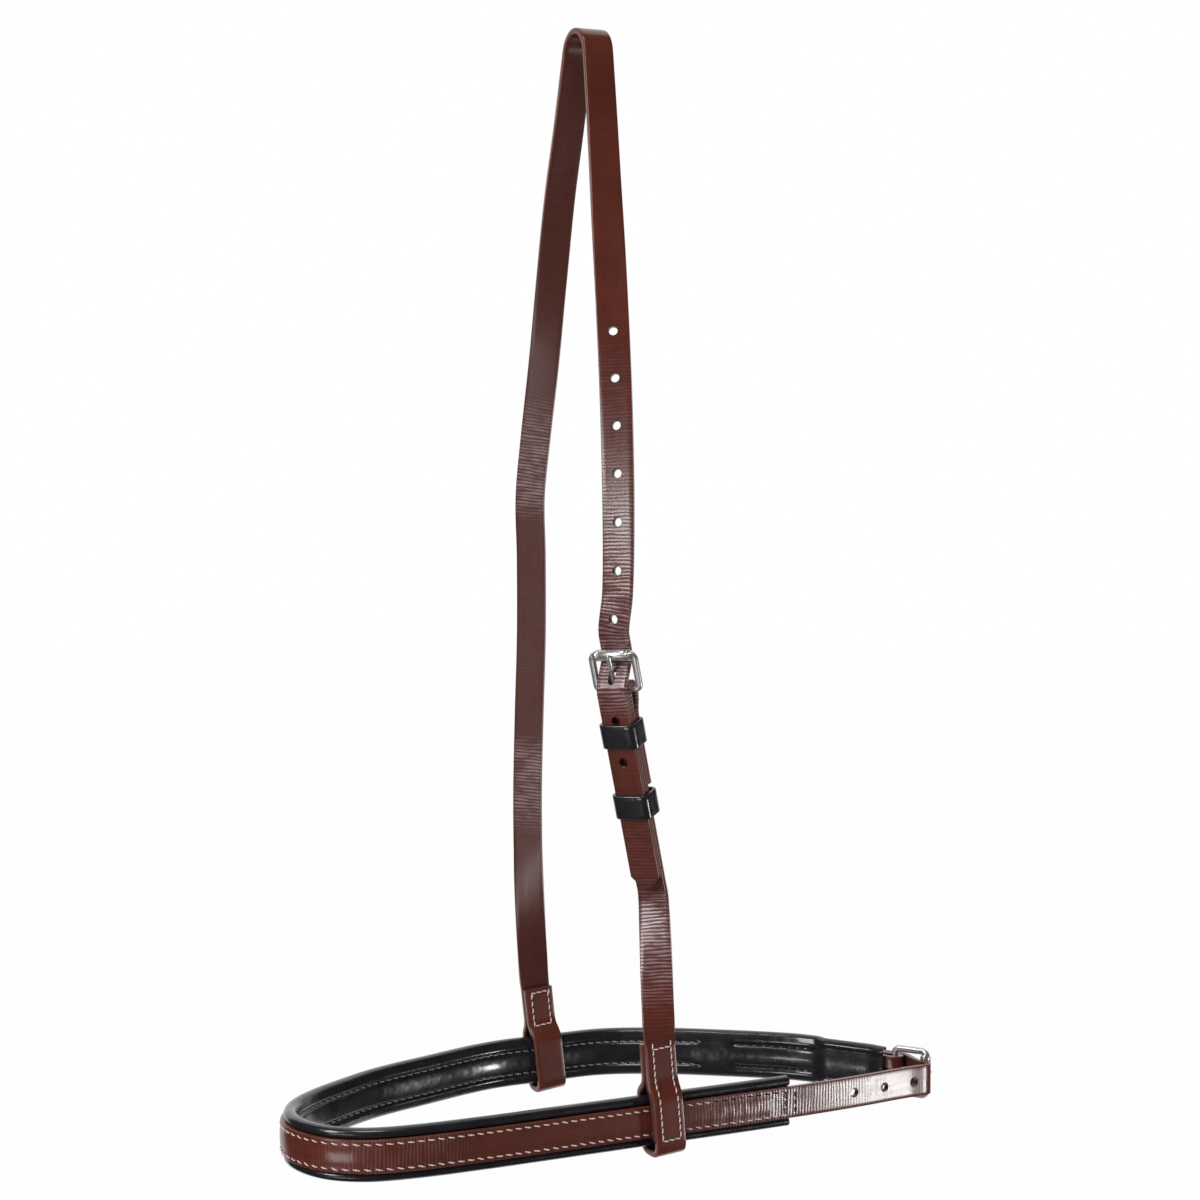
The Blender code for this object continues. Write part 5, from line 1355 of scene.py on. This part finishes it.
def thickened(outline, thick):
    """A closed section from an open outline: the outline, and back along the same outline moved
    by thick along its normals, (-du, dv) made unit."""
    slope = np.gradient(outline, axis=1)
    normal = np.stack([slope[..., 1], -slope[..., 0]], -1)
    normal = normal / np.linalg.norm(normal, axis=-1, keepdims=True)
    return np.concatenate([outline, (outline + thick * normal)[:, ::-1]], 1)


lining_at = np.arange(LINING_START, PADDED_END, LINING_STEP)
lining_at = np.append(lining_at[lining_at < PADDED_END - 0.5], PADDED_END)
lining_section = thickened(lining_skin(lining_at), LINING_THICK)
lining = swept("noseband_lining", on_band(lining_at, lining_section), sharp=50.0)
finish_piece(lining, "noseband", "nose_lining", black_leather)


# The padding and the edge cords. A strip of foam fills the channel, and a twisted cotton cord
# fills each rolled edge. They show only at the band's cut end.

PADDING_START = 92.0
PADDING_TOP = -0.9
PADDING_FACE = -3.1
PADDING_HALF_HEIGHT = 6.2
PADDING_SET_BACK = 0.4
PADDING_STEP = 2.0
CORD_RADIUS = 1.1
CORD_SET_BACK = 0.6
CORD_TWIST = 3.0
FOAM = "3a3a3d"
# Painted shade for the pits of the foam's open cells
FOAM_PIT_PAINTED_SHADE = "27272a"
# Cord, and a darker tone for the painted shade between its strands
CORD = "b9ad9c"
CORD_SHADE = "82776a"

foam_end = PADDED_END - PADDING_SET_BACK
foam_at = np.append(np.arange(PADDING_START, foam_end, PADDING_STEP), foam_end)
foam_box = rounded_box((PADDING_TOP - PADDING_FACE) / 2, PADDING_HALF_HEIGHT, 0.5, 5, 4)
foam_box[:, 0] += (PADDING_TOP + PADDING_FACE) / 2
padding = swept("noseband_foam", on_band(foam_at, foam_box))
foam, tree, shader = new_material("closed_cell_foam")
# Dark closed-cell foam: matt, with small open cells where it is cut, their pits darkened by painted
# shade
place = add_node(tree, "TexCoord").outputs["Object"]
cells = add_node(tree, "TexVoronoi", {"Vector": place, "Scale": 2500.0})
two_tone(tree, shader, cells.outputs["Distance"], FOAM_PIT_PAINTED_SHADE, FOAM, 0.00015, 0.95)
finish_piece(padding, "noseband", "nose_padding", foam)

cotton, tree, shader = new_material("twisted_cotton_cord")
# Cotton piping cord: three soft strands, matt, with a diagonal twist about 3 mm long, and painted
# shade in the grooves between the strands
two_tone(tree, shader, wound(tree, CORD_TWIST, 3.0), CORD_SHADE, CORD, 0.0002, 0.9)
cord_at = np.arange(LINING_STEP_FROM + END_MARGIN, PADDED_END - CORD_SET_BACK, LINING_STEP)
around = np.arange(16) / 16 * math.tau
for edge, level in (("upper", 1), ("lower", -1)):
    section = CORD_RADIUS * circle(len(around)) + (BEAD_OUT, level * BEAD_UP)
    piping = swept(edge + "_piping_cord", on_band(cord_at, section))
    grid = np.stack(np.broadcast_arrays(cord_at[:, None], around[None]), -1)
    write_map(piping, "thread", grid.reshape(-1, 2))
    finish_piece(piping, "noseband", edge + "_edge_cord", cotton)


# The band's stitching. Two rows of cream thread at 4 mm a stitch run round the nose, 1.6 mm from
# the facing's edges, and show again on the lining, where the thread is drawn darker as painted
# shade. Black thread takes over in the upper row towards the near end, crosses the strap on both
# sides of the lining's end, and sews the chape in a box under the far cheek.

NOSE_PITCH = 4.0
COLUMN_PITCH = 3.3
SECOND_COLUMN_PAST = 2.2
CHIN_BOX_START = 37.5
BLACK_ROW_FROM = 28.0
ROW_SLANT = 12.0
SLANT_SPREAD = 4.0
INNER_SLANT = 6.0
SEAM_SHARE = 0.7
INNER_SHARE = 0.75
CHAPE_SHARE = 0.72
COLUMN_GAP = 0.7
COLUMN_LIFT = 0.35
# Black thread, and a darker tone for the painted shade in the hollows of its twist
BLACK_THREAD = "1b1a1d"
BLACK_THREAD_SHADE = "0c0c0d"
# The cream thread as it shows on the lining, drawn grey-brown as painted shade, with deeper painted
# shade in the hollows of its twist
CREAM_THREAD_IN_PAINTED_SHADE = "a79d98"
CREAM_THREAD_DEEPER_PAINTED_SHADE = "5c534d"


def band_rows(start, end, u_levels, v, out, pitch):
    """Places, runs and outward directions of rows of stitches along the band."""
    count = int(round((end - start) / pitch))
    at = start + (np.arange(count) + 0.5) / count * (end - start)
    sets = []
    for u in u_levels:
        place = on_band(at, np.array([[v, u]]))[:, 0]
        ahead = on_band(at + 0.5, np.array([[v, u]])) - on_band(at - 0.5, np.array([[v, u]]))
        ahead = ahead[:, 0]
        run = ahead / np.linalg.norm(ahead, axis=1)[:, None]
        sets.append((place, run, out * np.cross(UPRIGHT, run)))
    return [np.vstack(column) for column in zip(*sets)]


def band_columns(ats, u_from, u_to, v, out, pitch):
    """Places, runs and outward directions of columns of stitches across the band."""
    count = int(round((u_to - u_from) / pitch))
    u = u_from + (np.arange(count) + 0.5) / count * (u_to - u_from)
    sets = []
    for at in ats:
        spots = np.full(count, float(at))
        place = on_band(spots, np.stack([np.full(count, v), u], 1)[:, None])[:, 0]
        ahead = on_band(spots + 0.5, np.zeros((1, 2))) - on_band(spots - 0.5, np.zeros((1, 2)))
        ahead = ahead[:, 0]
        sets.append((place, np.repeat(UPRIGHT, count, 0), out * np.cross(UPRIGHT, ahead)))
    return [np.vstack(column) for column in zip(*sets)]


black_thread = waxed_thread("waxed_black_thread", BLACK_THREAD, BLACK_THREAD_SHADE)
irregular = np.random.default_rng(5)
facing_v = STRAP_OFFSET + HALF_THICK - SEAM_GROOVE
seam_end = PADDED_END - END_MARGIN
for edge, level in (("upper", 1), ("lower", -1)):
    places, runs, outs = band_rows(SEAM_START, seam_end, [level * SEAM_UP], facing_v, -1.0,
                                   NOSE_PITCH)
    slants = ROW_SLANT + irregular.normal(0.0, SLANT_SPREAD, len(places))
    dark = (places[:, 0] > BLACK_ROW_FROM) & (places[:, 1] < 0.0) & (level > 0)
    sewn = stitches(edge + "_seam_stitches", places[~dark], runs[~dark], outs[~dark],
                    NOSE_PITCH * SEAM_SHARE, slants[~dark])
    finish_piece(sewn, "noseband", f"nose_{edge}_thread", cream_thread)
    if dark.any():
        sewn = stitches(f"black_{edge}_seam_stitches", places[dark], runs[dark], outs[dark],
                        NOSE_PITCH * SEAM_SHARE, slants[dark])
        finish_piece(sewn, "noseband", None, black_thread)

# Cream thread on the lining, darkened as painted shade where it sinks into the pinched seams
shaded_cream_thread = waxed_thread("cream_thread_darkened_as_painted_shade", CREAM_THREAD_IN_PAINTED_SHADE, CREAM_THREAD_DEEPER_PAINTED_SHADE)
inner_v = WALL_FACE + PINCH
both_seams = [-SEAM_UP, SEAM_UP]
inner_rows = band_rows(SEAM_START + 1.0, seam_end, both_seams, inner_v, 1.0, NOSE_PITCH)
inner_rows = stitches("inner_seam_stitches", *inner_rows, NOSE_PITCH * INNER_SHARE, INNER_SLANT)
finish_piece(inner_rows, "noseband", None, shaded_cream_thread)

box_ends = [CHIN_BOX_START, CHIN_CHAPE - END_MARGIN]
rows = band_rows(*box_ends, both_seams, inner_v, 1.0, NOSE_PITCH)
columns = band_columns(box_ends, *both_seams, inner_v - COLUMN_LIFT, 1.0, COLUMN_PITCH)
box = [np.vstack(pair) for pair in zip(rows, columns)]
chape_rows = stitches("chin_chape_stitches", *box, NOSE_PITCH * CHAPE_SHARE)
finish_piece(chape_rows, "noseband", "chin_chape_thread", black_thread)

end_columns = band_columns([seam_end - 1.0, PADDED_END + SECOND_COLUMN_PAST], *both_seams,
                           facing_v + COLUMN_LIFT, -1.0, COLUMN_PITCH)
end_columns = stitches("seam_end_stitches", *end_columns, COLUMN_PITCH - COLUMN_GAP)
finish_piece(end_columns, "noseband", None, black_thread)


# The chin keepers. Two bands like the cheek keepers, 8 mm long: one held by the chape, and one
# that slides over the chin strap's tail.

CHIN_KEEPER_LENGTH = 8.0
CHIN_FIXED_KEEPER_AT = 14.6
CHIN_SLIDING_KEEPER_AT = 24.0
for node, body, at in (("chin_fixed_keeper", "noseband", CHIN_FIXED_KEEPER_AT),
                       ("chin_sliding_keeper", "chin_runner", CHIN_SLIDING_KEEPER_AT)):
    band = keeper(node + "_band", chin, at, CHIN_KEEPER_LENGTH)
    finish_piece(band, body, node, black_leather)
